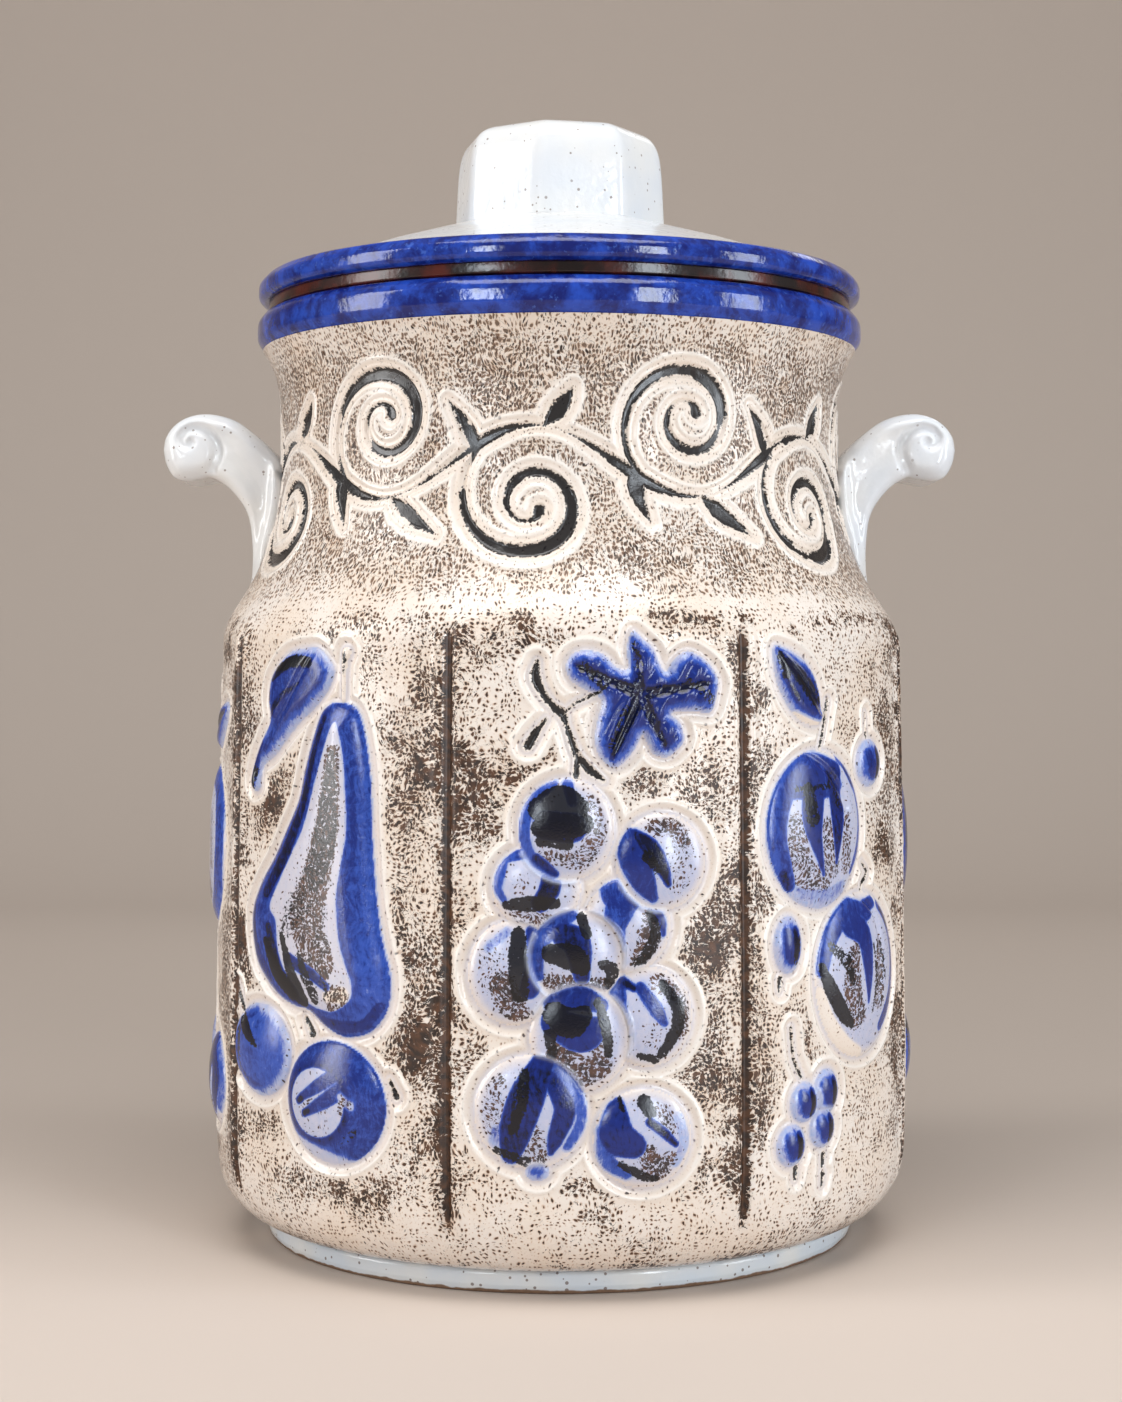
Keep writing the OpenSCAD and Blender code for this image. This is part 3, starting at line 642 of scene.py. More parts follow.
# Grapes, from the back of the bunch to its front: middle, half sizes, brush marks
GRAPES = [
    ((-15.7, 105), (11, 10.5), [
        ("b", 0.72, [(-0.7, 0.75), (-0.1, 0.9), (0.5, 0.55)], [1.8, 2.4, 1.6]),
        ("b", 0.62, [(-0.75, 0.6), (-0.85, 0.0), (-0.7, -0.3)], [1.6, 1.4, 1.0]),
        ("b", 0.95, [(0.35, 0.5), (0.3, 0.0), (0.1, -0.35)], [2.2, 2.6, 2.2]),
        ("k", 0.85, [(-0.65, -0.4), (-0.1, -0.35), (0.4, -0.35)], [1.4, 2.2, 1.6]),
        ("s", 0.6, [(-0.5, -0.7), (0.2, -0.75)], [2, 2]), ("s", 0.3, [(-0.3, 0.2), (-0.2, -0.1)], [2.6, 2.6])]),
    ((7, 95.6), (11, 12), [
        ("b", 0.72, [(-0.5, 0.8), (-0.15, 0.6), (0.2, 0.7)], [2.0, 4.4, 1.4]),
        ("b", 0.66, [(-0.2, 0.4), (-0.3, 0.0), (-0.15, -0.5)], [4.0, 2.6, 0.8]),
        ("b", 0.85, [(0.45, 0.45), (0.75, 0.1), (0.8, -0.2)], [1.2, 1.2, 0.8]),
        ("k", 0.75, [(0.45, 0.3), (0.6, -0.2), (0.35, -0.65), (0.15, -0.8)], [1.2, 1.8, 1.8, 1.0]),
        ("s", 0.7, [(0.5, 0.3), (0.45, -0.3), (0.2, -0.7)], [2, 3, 2])]),
    ((-21.7, 83.8), (11, 13), [
        ("b", 0.78, [(0.45, 0.8), (0.6, 0.3), (0.4, -0.3)], [1.8, 3.0, 2.4]),
        ("b", 0.42, [(-0.1, 0.8), (-0.5, 0.5)], [1.4, 1.4]),
        ("k", 0.85, [(0.15, 0.75), (0.15, 0.2), (0.2, -0.4)], [2.0, 2.6, 2.2]),
        ("s", 0.85, [(-0.2, -0.2), (0.0, -0.6), (0.25, -0.8)], [3.4, 3.4, 2.2]),
        ("s", 0.35, [(-0.5, 0.3), (-0.4, -0.2)], [3, 3])]),
    ((12.1, 72.6), (11.5, 12.5), [
        ("b", 0.7, [(-0.7, 0.6), (-0.75, 0.1), (-0.55, -0.3)], [2.4, 3.2, 1.8]),
        ("b", 0.7, [(-0.2, 0.6), (0.1, 0.2), (0.3, -0.1)], [1.6, 2.0, 1.2]),
        ("b", 1.0, [(-0.6, 0.75), (-0.35, 0.6)], [1.4, 1.0]),
        ("k", 0.85, [(0.3, 0.65), (0.6, 0.2), (0.6, -0.2), (0.3, -0.7)], [1.4, 2.0, 2.0, 1.6]),
        ("k", 0.8, [(-0.2, -0.75), (0.15, -0.85)], [1.0, 1.4]),
        ("s", 0.7, [(0.2, 0.7), (0.75, 0.3), (0.75, -0.3)], [2.4, 2, 2]), ("s", 0.3, [(0, -0.2), (0, -0.6)], [2, 2])]),
    ((-5.8, 87.8), (11.7, 11.7), [
        ("b", 0.7, [(-0.1, 0.9), (-0.6, 0.6), (-0.85, 0.1), (-0.8, -0.4)], [1.6, 2.4, 2.2, 1.4]),
        ("b", 0.88, [(-0.3, 0.5), (0.0, 0.3), (0.1, -0.4)], [3.0, 3.4, 2.0]),
        ("k", 0.95, [(-0.55, 0.1), (-0.1, 0.0), (0.1, -0.2)], [2.4, 3.4, 2.2]),
        ("k", 0.95, [(0.1, 0.85), (0.2, 0.5)], [1.4, 1.4]),
        ("k", 0.75, [(0.55, -0.15), (0.75, -0.3), (0.65, -0.6)], [1.6, 2.0, 1.4]),
        ("s", 0.8, [(-0.6, -0.5), (0.1, -0.65), (0.6, -0.6)], [2.2, 2.6, 2])]),
    ((-5, 67.7), (12.5, 13.5), [
        ("b", 0.8, [(-0.55, 0.65), (0.0, 0.75), (0.4, 0.6)], [2.4, 3.0, 2.0]),
        ("b", 0.8, [(-0.5, 0.3), (0.0, 0.1), (0.3, 0.2)], [3.6, 4.6, 3.0]),
        ("k", 0.95, [(-0.5, 0.45), (-0.2, 0.3), (0.05, 0.45)], [3.2, 3.8, 2.4]),
        ("k", 0.8, [(0.35, 0.65), (0.5, 0.2), (0.55, -0.3)], [1.4, 1.6, 1.2]),
        ("k", 0.75, [(-0.6, 0.1), (-0.55, -0.3)], [1.8, 1.4]),
        ("s", 0.85, [(-0.4, -0.3), (0.0, -0.6), (0.4, -0.5)], [3.6, 4, 3]), ("s", 0.6, [(0.3, 0), (0.4, -0.4)], [2, 2])]),
    ((-8.3, 119.4), (12, 12.8), [
        ("b", 0.66, [(-0.25, 0.92), (-0.72, 0.55), (-0.9, 0.0), (-0.75, -0.5), (-0.3, -0.88)],
         [1.2, 2.0, 2.0, 1.8, 1.2]),
        ("b", 0.66, [(0.02, 0.9), (0.12, 0.55)], [1.6, 1.4]), ("b", 0.9, [(-0.62, -0.55), (-0.25, -0.85)], [1.4, 1.2]),
        ("b", 0.8, [(-0.4, 0.1), (0.1, 0.05)], [3.6, 3.8]),
        ("k", 1.0, [(-0.55, 0.42), (-0.1, 0.6), (0.3, 0.45)], [3.0, 3.6, 2.0]),
        ("k", 0.9, [(-0.5, 0.05), (0, 0.1), (0.35, 0.12)], [2.8, 3.6, 2.6]),
        ("k", 0.85, [(-0.55, -0.22), (0, -0.25)], [1.3, 1.8]),
        ("s", 0.55, [(0.5, 0.5), (0.6, 0.0), (0.4, -0.5)], [2.6, 3.0, 2.4]), ("s", 0.6, [(-0.4, -0.5), (0.3, -0.6)], [2, 2.4])]),
    ((15.6, 111.2), (11.6, 12.2), [
        ("b", 0.76, [(-0.75, 0.45), (-0.6, 0.0), (-0.4, -0.45), (-0.2, -0.75)], [3.4, 3.8, 2.8, 1.2]),
        ("b", 0.98, [(-0.6, 0.6), (-0.3, 0.3), (-0.05, -0.1), (0.1, -0.45)], [1.2, 2.4, 1.8, 0.8]),
        ("k", 0.75, [(-0.35, 0.15), (-0.15, -0.15)], [1.8, 1.2]),
        ("s", 0.75, [(-0.15, 0.7), (0.2, 0.75), (0.45, 0.45)], [2.4, 2.6, 2.2]), ("s", 0.35, [(0.35, 0.2), (0.3, -0.4)], [4, 3.6])]),
    ((-17.2, 49.3), (14, 14.2), [
        ("b", 0.88, [(0.2, 0.85), (-0.05, 0.3), (-0.25, -0.3), (-0.35, -0.75)], [3.0, 4.4, 4.0, 2.4]),
        ("b", 0.6, [(0.45, 0.8), (0.85, 0.3), (0.9, -0.15), (0.65, -0.6)], [1.6, 1.8, 1.8, 1.4]),
        ("b", 0.85, [(0.35, 0.6), (0.6, 0.1), (0.45, -0.4), (0.35, -0.7)], [2.0, 2.8, 2.2, 0.8]),
        ("b", 0.4, [(-0.55, -0.35), (-0.6, -0.5)], [2.4, 2]),
        ("k", 0.8, [(-0.1, 0.7), (-0.15, 0.2), (-0.3, -0.3)], [1.4, 1.8, 1.4]),
        ("k", 0.75, [(-0.6, -0.65), (-0.1, -0.85)], [1.2, 1.6]),
        ("s", 0.65, [(0.0, -0.4), (0.15, -0.75)], [3.2, 2.4]), ("s", 0.45, [(-0.6, 0.5), (-0.65, -0.2)], [3, 3])]),
    ((10.8, 42.4), (12.6, 12.4), [
        ("b", 0.82, [(-0.55, 0.7), (-0.55, 0.1), (-0.25, -0.1)], [2.2, 4.4, 3.4]),
        ("b", 0.6, [(-0.85, 0.2), (-0.75, -0.4), (-0.35, -0.7)], [1.4, 2.2, 1.6]),
        ("b", 0.36, [(0.7, 0.4), (0.8, -0.1), (0.65, -0.5)], [1.6, 1.8, 1.4]),
        ("b", 0.95, [(0.1, 0.35), (0.4, 0.1), (0.62, -0.12)], [1.2, 1.2, 0.8]),
        ("k", 0.85, [(0.0, 0.75), (0.1, 0.55)], [2.0, 1.8]), ("k", 0.9, [(-0.5, 0.85), (-0.42, 0.6)], [0.7, 0.7]),
        ("k", 0.8, [(-0.45, -0.5), (0.0, -0.75), (0.25, -0.8)], [1.2, 1.4, 1.0]),
        ("s", 0.8, [(0.05, -0.3), (0.25, -0.65), (0.5, -0.4)], [2.6, 2.8, 2]), ("s", 0.55, [(0.35, 0.55), (0.5, 0.2)], [2.2, 2.0])]),
]
GRAPE_LEAF = [(8.3, 168.9), (11.1, 166.9), (13.9, 164.2), (15.1, 161.2), (16.9, 158.7), (19.3, 161.9),
              (22.9, 163.9), (27.7, 161.2), (30.5, 157.1), (30.3, 152.9), (28.7, 148.6), (24.2, 148.9),
              (18.3, 148.4), (20.8, 145.4), (21.6, 141.6), (19.8, 139.1), (17.2, 137.4), (13.9, 138.2),
              (12.1, 141.2), (10.8, 143), (8.8, 139.2), (5.4, 135.5), (3, 135), (-0.1, 138), (-1.1, 142.3),
              (-0.3, 147.2), (0.7, 151.7), (-3.1, 154.2), (-7.1, 156.7), (-8.3, 160.4), (-6.6, 163.2),
              (-3.1, 164.1), (1.2, 162.9), (4.4, 159.7), (7.5, 159.7), (7, 164.2)]
GRAPE_LEAF_MIDDLE = (10.0, 153.2)
GRAPE_LEAF_VEINS = [(8.3, 167), (28.5, 156), (16.8, 139.5), (3, 137), (-6, 160.5)]
TWIGS = [
    ([(-15.5, 161.3), (-16, 157.7), (-14.7, 154.2), (-12.2, 150.7), (-9.3, 148.3), (-8.3, 145.5),
      (-7.1, 141.8), (-5.5, 137.8), (-2.6, 134.5), (1, 131.6)],
     [0.5, 1.3, 1.1, 0.9, 1.1, 0.6, 0.8, 1.0, 1.1, 0.5]),
    ([(-9.3, 147.7), (-6.6, 150.5), (-2.6, 152.5), (0.2, 153.7)], [0.35, 0.3, 0.35, 0.5]),
    ([(-13.3, 147), (-15.7, 143.8), (-17.9, 140.3)], [0.3, 0.9, 1.2]),
    ([(-5.5, 137.8), (-5.8, 133.1), (-5.8, 128.5)], [0.7, 0.8, 0.9]),
]


def grape_panel(panel):
    """A bunch of grapes under a five-lobed leaf on a forked twig."""
    u, z = panel.u, panel.z
    leaf = from_outline(u, z, through(GRAPE_LEAF, 5, closed=True))
    veins = np.min([from_stroke(u, z, [GRAPE_LEAF_MIDDLE, tip], [0.6, 0.2]) for tip in GRAPE_LEAF_VEINS], axis=0)
    folds = 0.3 * np.sin(1.35 * (u - 0.5 * z)) * ease(leaf, -0.5, -3)
    marks = [("b", 0.97, [GRAPE_LEAF_MIDDLE, tip], [2.2, 1.0]) for tip in GRAPE_LEAF_VEINS]
    marks += [("k", 0.62, [(6.5, 149), (3, 140)], [1.6, 1.4]), ("k", 0.6, [(1, 155), (-4, 160)], [1.2, 1.6]),
              ("k", 0.6, [(22, 157), (28, 152)], [1.0, 1.6]), ("k", 0.58, [(10, 160), (9, 166)], [1.2, 1.0])]
    panel.lay(leaf, pillow(leaf, 4.5, 2.2) - 0.9 * bell(veins, 0.9) + folds, 0.78, marks)
    panel.ink = np.maximum(panel.ink, 0.36 * bell(leaf + 0.9, 1.1))
    for points, widths in TWIGS:
        panel.carve(from_stroke(u, z, points, widths))
    for centre, half, marks in GRAPES:
        berry(panel, centre, half, marks)
    drip = from_ellipse(u, z, (-15.6, 34.4), (2.9, 2.2))[0]
    panel.lay(drip, pillow(drip, 2, 0.6), 0.75)


PEAR = [(4.8, 150.9), (10, 150), (12.5, 147.4), (14.1, 142.6), (15.4, 136.3), (16.3, 128.7),
        (16.7, 118.6), (17.6, 108.5), (18.8, 98.4), (20.6, 89.6), (22.7, 82.2), (22.7, 75.9),
        (20.9, 71.2), (16.9, 67.3), (11.6, 65.6), (6.6, 65.7), (1.4, 67.8), (-4.1, 71.1),
        (-10, 71.9), (-16.1, 73.9), (-21.3, 77.3), (-26.1, 82.1), (-28.5, 89.9), (-28, 96.6),
        (-24.1, 103.5), (-18.3, 110.5), (-13.9, 117.3), (-9.1, 125.3), (-6.8, 133.2), (-4.1, 141),
        (-1.2, 147.5), (1.4, 149.9)]
PEAR_WEDGE = [(5.9, 145.8), (8.3, 138.7), (9.3, 131.1), (10, 118.3), (8.3, 108), (7.2, 100.3),
              (8.3, 90.1), (10.5, 83.9), (12.5, 78.9), (11.6, 75.1), (6.6, 72.1), (1.4, 72.2),
              (-3.4, 73.3), (-7.9, 76), (-13.2, 85.9), (-14.4, 93.7), (-16.9, 97.4), (-13.2, 104.2),
              (-9.1, 111), (-4.8, 117.7), (-1.2, 128.2), (1.4, 136), (3.8, 142.5)]
PEAR_MARKS = [
    ("b", 0.92, [(1.3, 147), (-1.9, 137.8), (-5.2, 125.5), (-11, 112.9), (-19, 101)], [1.6, 1.6, 2.0, 2.6, 2.2]),
    ("b", 0.8, [(-26, 98), (-25, 88), (-19, 79)], [1.4, 2.4, 2.4]),
    ("b", 0.95, [(-17.5, 92), (-14, 82), (-9, 75)], [1.6, 2.2, 2.6]),
    ("b", 0.85, [(-9, 84), (-1, 81), (4.4, 78)], [1.8, 1.6, 1.2]),
    ("b", 0.82, [(-2, 69.8), (6.5, 68.4), (15, 68.8), (20.4, 74)], [1.6, 1.8, 1.8, 1.6]),
    ("b", 0.72, [(11.5, 132), (12.2, 118), (12, 108)], [1.0, 1.4, 1.0]),
    ("k", 0.95, [(-18.3, 88), (-13.3, 79.2), (-5.1, 73.9)], [1.4, 2.6, 2.2]),
    ("k", 0.9, [(-12, 90), (-9, 82), (-6, 76)], [1.0, 1.8, 2.2]),
    ("k", 0.72, [(-5.5, 86), (-3, 80), (0, 75)], [1.0, 1.8, 2.0]),
    ("k", 0.6, [(2, 82), (4, 78), (4, 75)], [0.8, 1.2, 1.0]),
    ("k", 0.6, [(5.2, 138), (4.6, 129), (3.4, 116), (0, 106)], [1.2, 2.6, 4.2, 3.6]),
    ("k", 0.5, [(0, 107), (-6, 98), (-10, 92)], [4.2, 4.4, 3.0]),
    ("k", 0.42, [(2, 98), (3, 88)], [3.0, 3.0]),
    ("k", 0.6, [(-4.5, 103.4), (2.4, 103.9)], [0.5, 0.6]), ("k", 0.5, [(-7, 98.6), (-1, 99)], [0.4, 0.5]),
    ("s", 0.85, [(5.5, 138), (4, 120), (0, 104), (-3, 95), (2, 84)], [2.2, 4, 5, 6, 5]),
    ("s", 0.75, [(5.4, 77.3), (9.4, 75.6), (5.4, 73)], [1.6, 2.2, 1.4]),
    ("c", 0.75, [(4.6, 75.6), (9.6, 76.4)], [1.4, 2.0]),
]
PEAR_LEAF = [(-7.1, 164.8), (-2.3, 164.8), (1.7, 161.7), (3.5, 158.6), (1.4, 154), (-3.4, 149.3),
             (-8.8, 145.6), (-13.9, 141.3), (-19.1, 136.7), (-24.1, 134), (-25.5, 130.5),
             (-25.8, 127.8), (-28.3, 126.9), (-30, 129), (-29, 133), (-27, 137.3), (-24.1, 141.9),
             (-21.3, 145.9), (-22.2, 151.2), (-21.3, 156.5), (-18.3, 160.4), (-13.2, 163.8)]
PEAR_LEAF_MARKS = [
    ("b", 1.0, [(-19, 157), (-12, 161), (-4, 161)], [1.4, 2.0, 1.6]),
    ("b", 0.92, [(-20, 147), (-15, 152), (-8, 156)], [1.2, 1.4, 0.8]),
    ("b", 1.0, [(-28, 129), (-27, 134), (-23.5, 140)], [1.4, 1.6, 1.0]),
    ("b", 0.5, [(-2, 156), (-10, 149), (-18, 141)], [1.6, 1.4, 1.0]),
    ("k", 0.8, [(-17, 159.5), (-10, 161.5), (-5, 161.5)], [1.4, 1.8, 1.4]),
    ("k", 0.7, [(-28, 128.4), (-26.8, 133)], [1.2, 1.0]), ("k", 0.55, [(-20.6, 154), (-20.4, 148)], [1.0, 0.8]),
]
CHERRY_MARKS = [
    ("b", 0.7, [(-0.1, 0.85), (-0.65, 0.6), (-0.85, 0.0), (-0.6, -0.6), (0.2, -0.85)], [2.0, 2.6, 2.8, 2.4, 1.6]),
    ("b", 0.6, [(-0.3, 0.4), (-0.2, -0.3), (0.2, -0.7)], [3.4, 3.4, 2.0]),
    ("k", 0.85, [(-0.55, 0.6), (-0.25, 0.35), (0.1, 0.1)], [2.2, 2.0, 0.8]),
    ("k", 0.6, [(-0.7, 0.35), (-0.65, -0.2)], [1.6, 1.2]), ("s", 0.5, [(0.1, 0.5), (0.0, -0.3)], [2.4, 2.6]),
]


def pear_panel(panel):
    """A pear with a curled leaf, and two cherries below it."""
    u, z = panel.u, panel.z
    leaf = from_outline(u, z, through(PEAR_LEAF, 5, closed=True))
    vein = from_stroke(u, z, [(-4, 163), (-12, 152), (-19, 143), (-26.5, 132)], [0.4, 0.5, 0.5, 0.4])
    panel.lay(leaf, pillow(leaf, 5, 1.9) - 0.5 * bell(vein, 0.8), 0.7, PEAR_LEAF_MARKS)
    stem = from_stroke(u, z, [(7.6, 163.6), (6.9, 160.4), (6.9, 151.5)], [1.5, 0.9, 0.7])
    panel.lay(stem, pillow(stem, 1, 0.8), 0.0, [("k", 0.7, [(7.4, 163), (7.0, 158)], [0.9, 0.4])])
    berry(panel, (-24, 58.8), (13, 12.2), CHERRY_MARKS, 0.58, 2.7)
    cherry, m = from_ellipse(u, z, (4.6, 48.2), (17, 15.8))
    hollow = from_ellipse(u, z, (0.4, 48.0), (9.6, 8.8), 8)[0]
    panel.lay(cherry, dome(m, 2.9), 0.0, [
        ("b", 0.72, [(9.5, 57.4), (2.4, 53), (-5.6, 48.4)], [2.2, 2.0, 1.2]),
        ("b", 0.72, [(13.3, 55), (4.8, 49.4), (-3.2, 45)], [2.4, 2.2, 1.2]),
        ("b", 1.0, [(-4.6, 48.6), (-6, 47.9)], [1.1, 1.1]), ("b", 1.0, [(-2, 45.6), (-3.6, 44.9)], [1.1, 1.1]),
        ("s", 0.6, [(11, 51), (10, 47)], [2, 2]), ("s", 0.25, [(0, 46), (0, 42)], [6, 4]),
        ("k", 0.5, [(8, 38), (13, 42)], [1.2, 1.2]), ("c", 0.6, [(9, 50.5), (12, 48.4)], [1.0, 1.4])])
    inside = ease(cherry, 0.3, -0.3)
    fade = ease(z + 0.25 * u, 34.5, 38.5)
    shell = inside * ease(hollow, -0.6, 0.6) * (0.68 + 0.16 * bell(hollow - 1, 1.2)) * fade
    panel.cobalt = np.maximum(panel.cobalt, np.maximum(shell, 0.2 * inside) * (1 - panel.bare))
    pear = from_outline(u, z, through(PEAR, 5, closed=True))
    wedge = from_outline(u, z, through(PEAR_WEDGE, 4, closed=True))
    panel.lay(pear, pillow(pear, 12, 3.0), 0.16, PEAR_MARKS, smooth=1.0)
    band = ease(pear, 0.3, -0.3) * ease(wedge, -0.6, 0.6) * (1 - panel.bare)
    panel.cobalt = np.maximum(panel.cobalt, band * (0.66 - 0.08 * ease(u, 10, 18)))
    panel.carve(from_stroke(u, z, [(-36.3, 74.3), (-34.1, 69.8), (-31.5, 65.6)], [1.0, 0.8, 0.4]))
    panel.carve(from_stroke(u, z, [(-5.6, 69), (-3.2, 65.3)], [0.6, 1.2]))
    panel.carve(from_stroke(u, z, [(22.5, 55.5), (24.5, 51.5)], [0.4, 0.9]))


PLUM_LEAF = [(-27.6, 165.3), (-23.7, 164.8), (-20, 163.3), (-16.1, 161.2), (-12.8, 157.8), (-11, 153.9),
             (-10.2, 150), (-9.4, 147), (-11.2, 145), (-15.3, 145.2), (-20, 147.2), (-23.4, 150.6),
             (-25.9, 154.5), (-27.4, 158.5), (-27.9, 162)]
PLUM_LEAF_MARKS = [
    ("b", 1.0, [(-26.5, 164), (-20, 158), (-14, 152), (-10.6, 147.6)], [1.6, 2.4, 2.4, 1.2]),
    ("b", 0.95, [(-25.5, 158), (-21, 152)], [1.2, 1.6]),
    ("k", 0.75, [(-26, 163), (-24.5, 158)], [1.4, 1.4]), ("k", 0.62, [(-20, 157), (-15, 151)], [1.4, 1.6]),
    ("k", 0.6, [(-13.5, 156), (-11.6, 150)], [0.8, 0.8]), ("c", 1.0, [(-21, 147.4), (-15, 145), (-11.6, 145)], [1.2, 1.5, 0.8]),
]
PLUM_ONE = (-12.0, 117.8), (19.4, 20.6)
PLUM_ONE_MARKS = [
    ("b", 0.68, [(-21, 133), (-27, 126), (-28.6, 117), (-26.5, 108), (-24, 103.6)], [3.2, 3.4, 3.0, 2.8, 1.8]),
    ("b", 0.98, [(-26.4, 107), (-24.6, 103.4)], [1.4, 1.6]),
    ("b", 0.72, [(-22, 134), (-14, 134.6), (-6, 133)], [3.6, 3.4, 2.6]),
    ("b", 0.72, [(-23, 129), (-14, 129), (-6, 129)], [3.2, 3.4, 2.4]),
    ("b", 0.8, [(-15.8, 130), (-17, 121.3), (-16, 115.2), (-12.6, 106)], [4.2, 3.8, 2.4, 0.5]),
    ("b", 0.86, [(-7.5, 131), (-7.0, 120), (-7.4, 109)], [3.4, 2.8, 0.5]),
    ("b", 0.66, [(-3.5, 136), (1.8, 132), (6, 123.3), (5.2, 114), (0.4, 106)], [1.6, 2.0, 1.9, 1.6, 0.8]),
    ("b", 0.95, [(-1, 133.5), (2.6, 128.5)], [1.0, 0.8]),
    ("b", 0.42, [(-22, 101), (-12, 99.5), (-4, 102)], [2.6, 3.0, 2.4]),
    ("k", 0.72, [(-18, 128), (-17, 121)], [2.4, 2.6]), ("k", 0.6, [(-22, 128.6), (-10, 129)], [1.0, 1.2]),
    ("k", 0.6, [(-9, 131), (-6.5, 124)], [1.4, 1.4]),
    ("s", 0.62, [(-22.6, 120), (-20.6, 108), (-12, 104.5)], [2.6, 4.2, 3]),
    ("s", 0.62, [(-11.6, 119), (-9.4, 108)], [2.2, 3.4]), ("s", 0.6, [(-3, 120), (-2.4, 108)], [2.4, 2.8]),
]
PLUM_TWO = (6.4, 78.4), (20.4, 21.8)
PLUM_TWO_MARKS = [
    ("b", 0.72, [(-5, 95), (-10.4, 88), (-12, 81)], [3.6, 3.2, 2.0]),
    ("b", 0.72, [(-2, 97), (6, 95), (12, 97)], [3.0, 3.0, 2.0]),
    ("b", 0.76, [(-1, 92), (5, 89), (6.5, 80), (6.7, 71)], [3.4, 3.6, 2.4, 0.5]),
    ("b", 0.7, [(16, 96), (21, 92), (24.4, 83.7), (22.6, 72), (15, 64)], [1.6, 2.4, 2.8, 2.8, 1.8]),
    ("b", 0.98, [(17, 95), (21.4, 90)], [1.0, 1.2]),
    ("k", 0.9, [(-12, 82), (-9.6, 76.6), (-5.2, 70.1), (-0.9, 66)], [1.2, 2.2, 2.4, 1.4]),
    ("k", 0.66, [(-8.6, 87), (-2.6, 82), (-0.9, 77.5)], [1.6, 2.2, 1.4]),
    ("k", 0.6, [(10, 86), (11, 76), (9, 68)], [0.8, 1.2, 0.8]), ("k", 0.6, [(15.6, 86), (17, 76)], [0.8, 0.9]),
    ("s", 0.8, [(0.6, 86), (-1, 76), (2, 68)], [2.0, 3.8, 3.4]), ("s", 0.7, [(13.6, 86), (13, 72)], [2.4, 3.4]),
    ("c", 1.0, [(-13, 75), (-9.6, 67), (-3, 60.5), (4, 57.6)], [1.6, 2.4, 2.6, 1.8]),
]
BERRY_MARKS = [
    ("b", 0.78, [(-0.35, 0.4), (0.0, -0.4)], [2.0, 2.4]), ("b", 1.0, [(0.35, 0.5), (0.4, -0.4)], [1.5, 1.7]),
    ("k", 0.62, [(0.5, 0.2), (0.35, -0.6)], [1.3, 1.3]),
]


def plum(panel, place, marks, cleft):
    """A plum: a tall dome with a soft cleft, its cobalt running down in tongues."""
    distance, m = from_ellipse(panel.u, panel.z, *place)
    crease = from_stroke(panel.u, panel.z, cleft, [0.1] * len(cleft))
    panel.lay(distance, dome(m, 3.0, 0.62) - 0.75 * bell(crease, 1.1), 0.2, marks)


def plum_panel(panel):
    """Two plums under a pointed leaf, with berries beside and below them."""
    u, z = panel.u, panel.z
    leaf = from_outline(u, z, through(PLUM_LEAF, 5, closed=True))
    vein = from_stroke(u, z, [(-26, 164), (-18, 157), (-11, 148.5)], [0.3, 0.4, 0.3])
    panel.lay(leaf, pillow(leaf, 4, 1.7) - 0.5 * bell(vein, 0.8), 0.8, PLUM_LEAF_MARKS)
    panel.carve(from_stroke(u, z, [(-6.9, 151), (-8.6, 144.8), (-10.8, 138.3)], [0.8, 0.5, 0.4]))
    panel.carve(from_stroke(u, z, [(9, 107.9), (11.6, 105), (8.7, 102), (7.7, 99)], [0.3, 0.6, 0.5, 0.4]))
    panel.carve(from_stroke(u, z, [(12.1, 147.5), (12.7, 139)], [0.4, 0.5]))
    panel.carve(from_stroke(u, z, [(-23.3, 67.2), (-22.6, 60.2), (-21.1, 56.7), (-19.6, 54.2)],
                            [0.5, 0.45, 0.5, 0.4]))
    for place in ((-27, 80), (-21.6, 31), (-10.8, 33), (-10.9, 28)):
        panel.carve(from_stroke(u, z, [place, (place[0] - 0.3, place[1] - 2.8)], [0.9, 0.5]), 0.5)
    plum(panel, PLUM_ONE, PLUM_ONE_MARKS, [(-18, 138), (-10.9, 134), (-6.5, 130), (-2, 123)])
    plum(panel, PLUM_TWO, PLUM_TWO_MARKS, [(5, 100), (12, 95), (15, 86), (14, 72)])
    for centre, half in (((13.3, 134.2), (7, 6.4)), ((-24.2, 88.6), (5, 7.4)), ((-9.8, 49.4), (5.2, 5.9)),
                         ((-18.6, 47.6), (5.2, 5.2)), ((-11.4, 40.2), (5.2, 5.2)), ((-23.4, 37), (5.2, 5.4))):
        berry(panel, centre, half, BERRY_MARKS, 0.62, 1.9)


APPLE_MARKS = [
    ("b", 0.72, [(-6, 131), (-17, 126), (-21, 113), (-17, 98), (-6, 90)], [2.6, 3.8, 3.6, 3.4, 2.2]),
    ("b", 0.66, [(5, 131), (17, 126), (21.5, 112), (17, 97), (7, 90.5)], [2.4, 3.0, 2.8, 3.0, 2.2]),
    ("b", 0.82, [(-4, 130), (-10, 118), (-9, 104)], [3.0, 3.0, 0.6]), ("b", 0.78, [(4, 130), (2, 119), (5, 107)], [3.0, 2.2, 0.6]),
    ("k", 0.75, [(-17, 121), (-18.6, 110), (-14, 98)], [2.0, 2.4, 1.8]), ("k", 0.6, [(-6, 127), (-9, 120)], [1.4, 1.4]),
    ("s", 0.7, [(-4, 116), (0, 102), (8, 98)], [3.0, 5.4, 3.4]), ("s", 0.5, [(12, 118), (13, 106)], [2.6, 3.0]),
]
APPLE_LEAF = [(1, 139), (8, 146), (18, 150), (27, 149), (22, 143), (13, 138), (5, 137)]


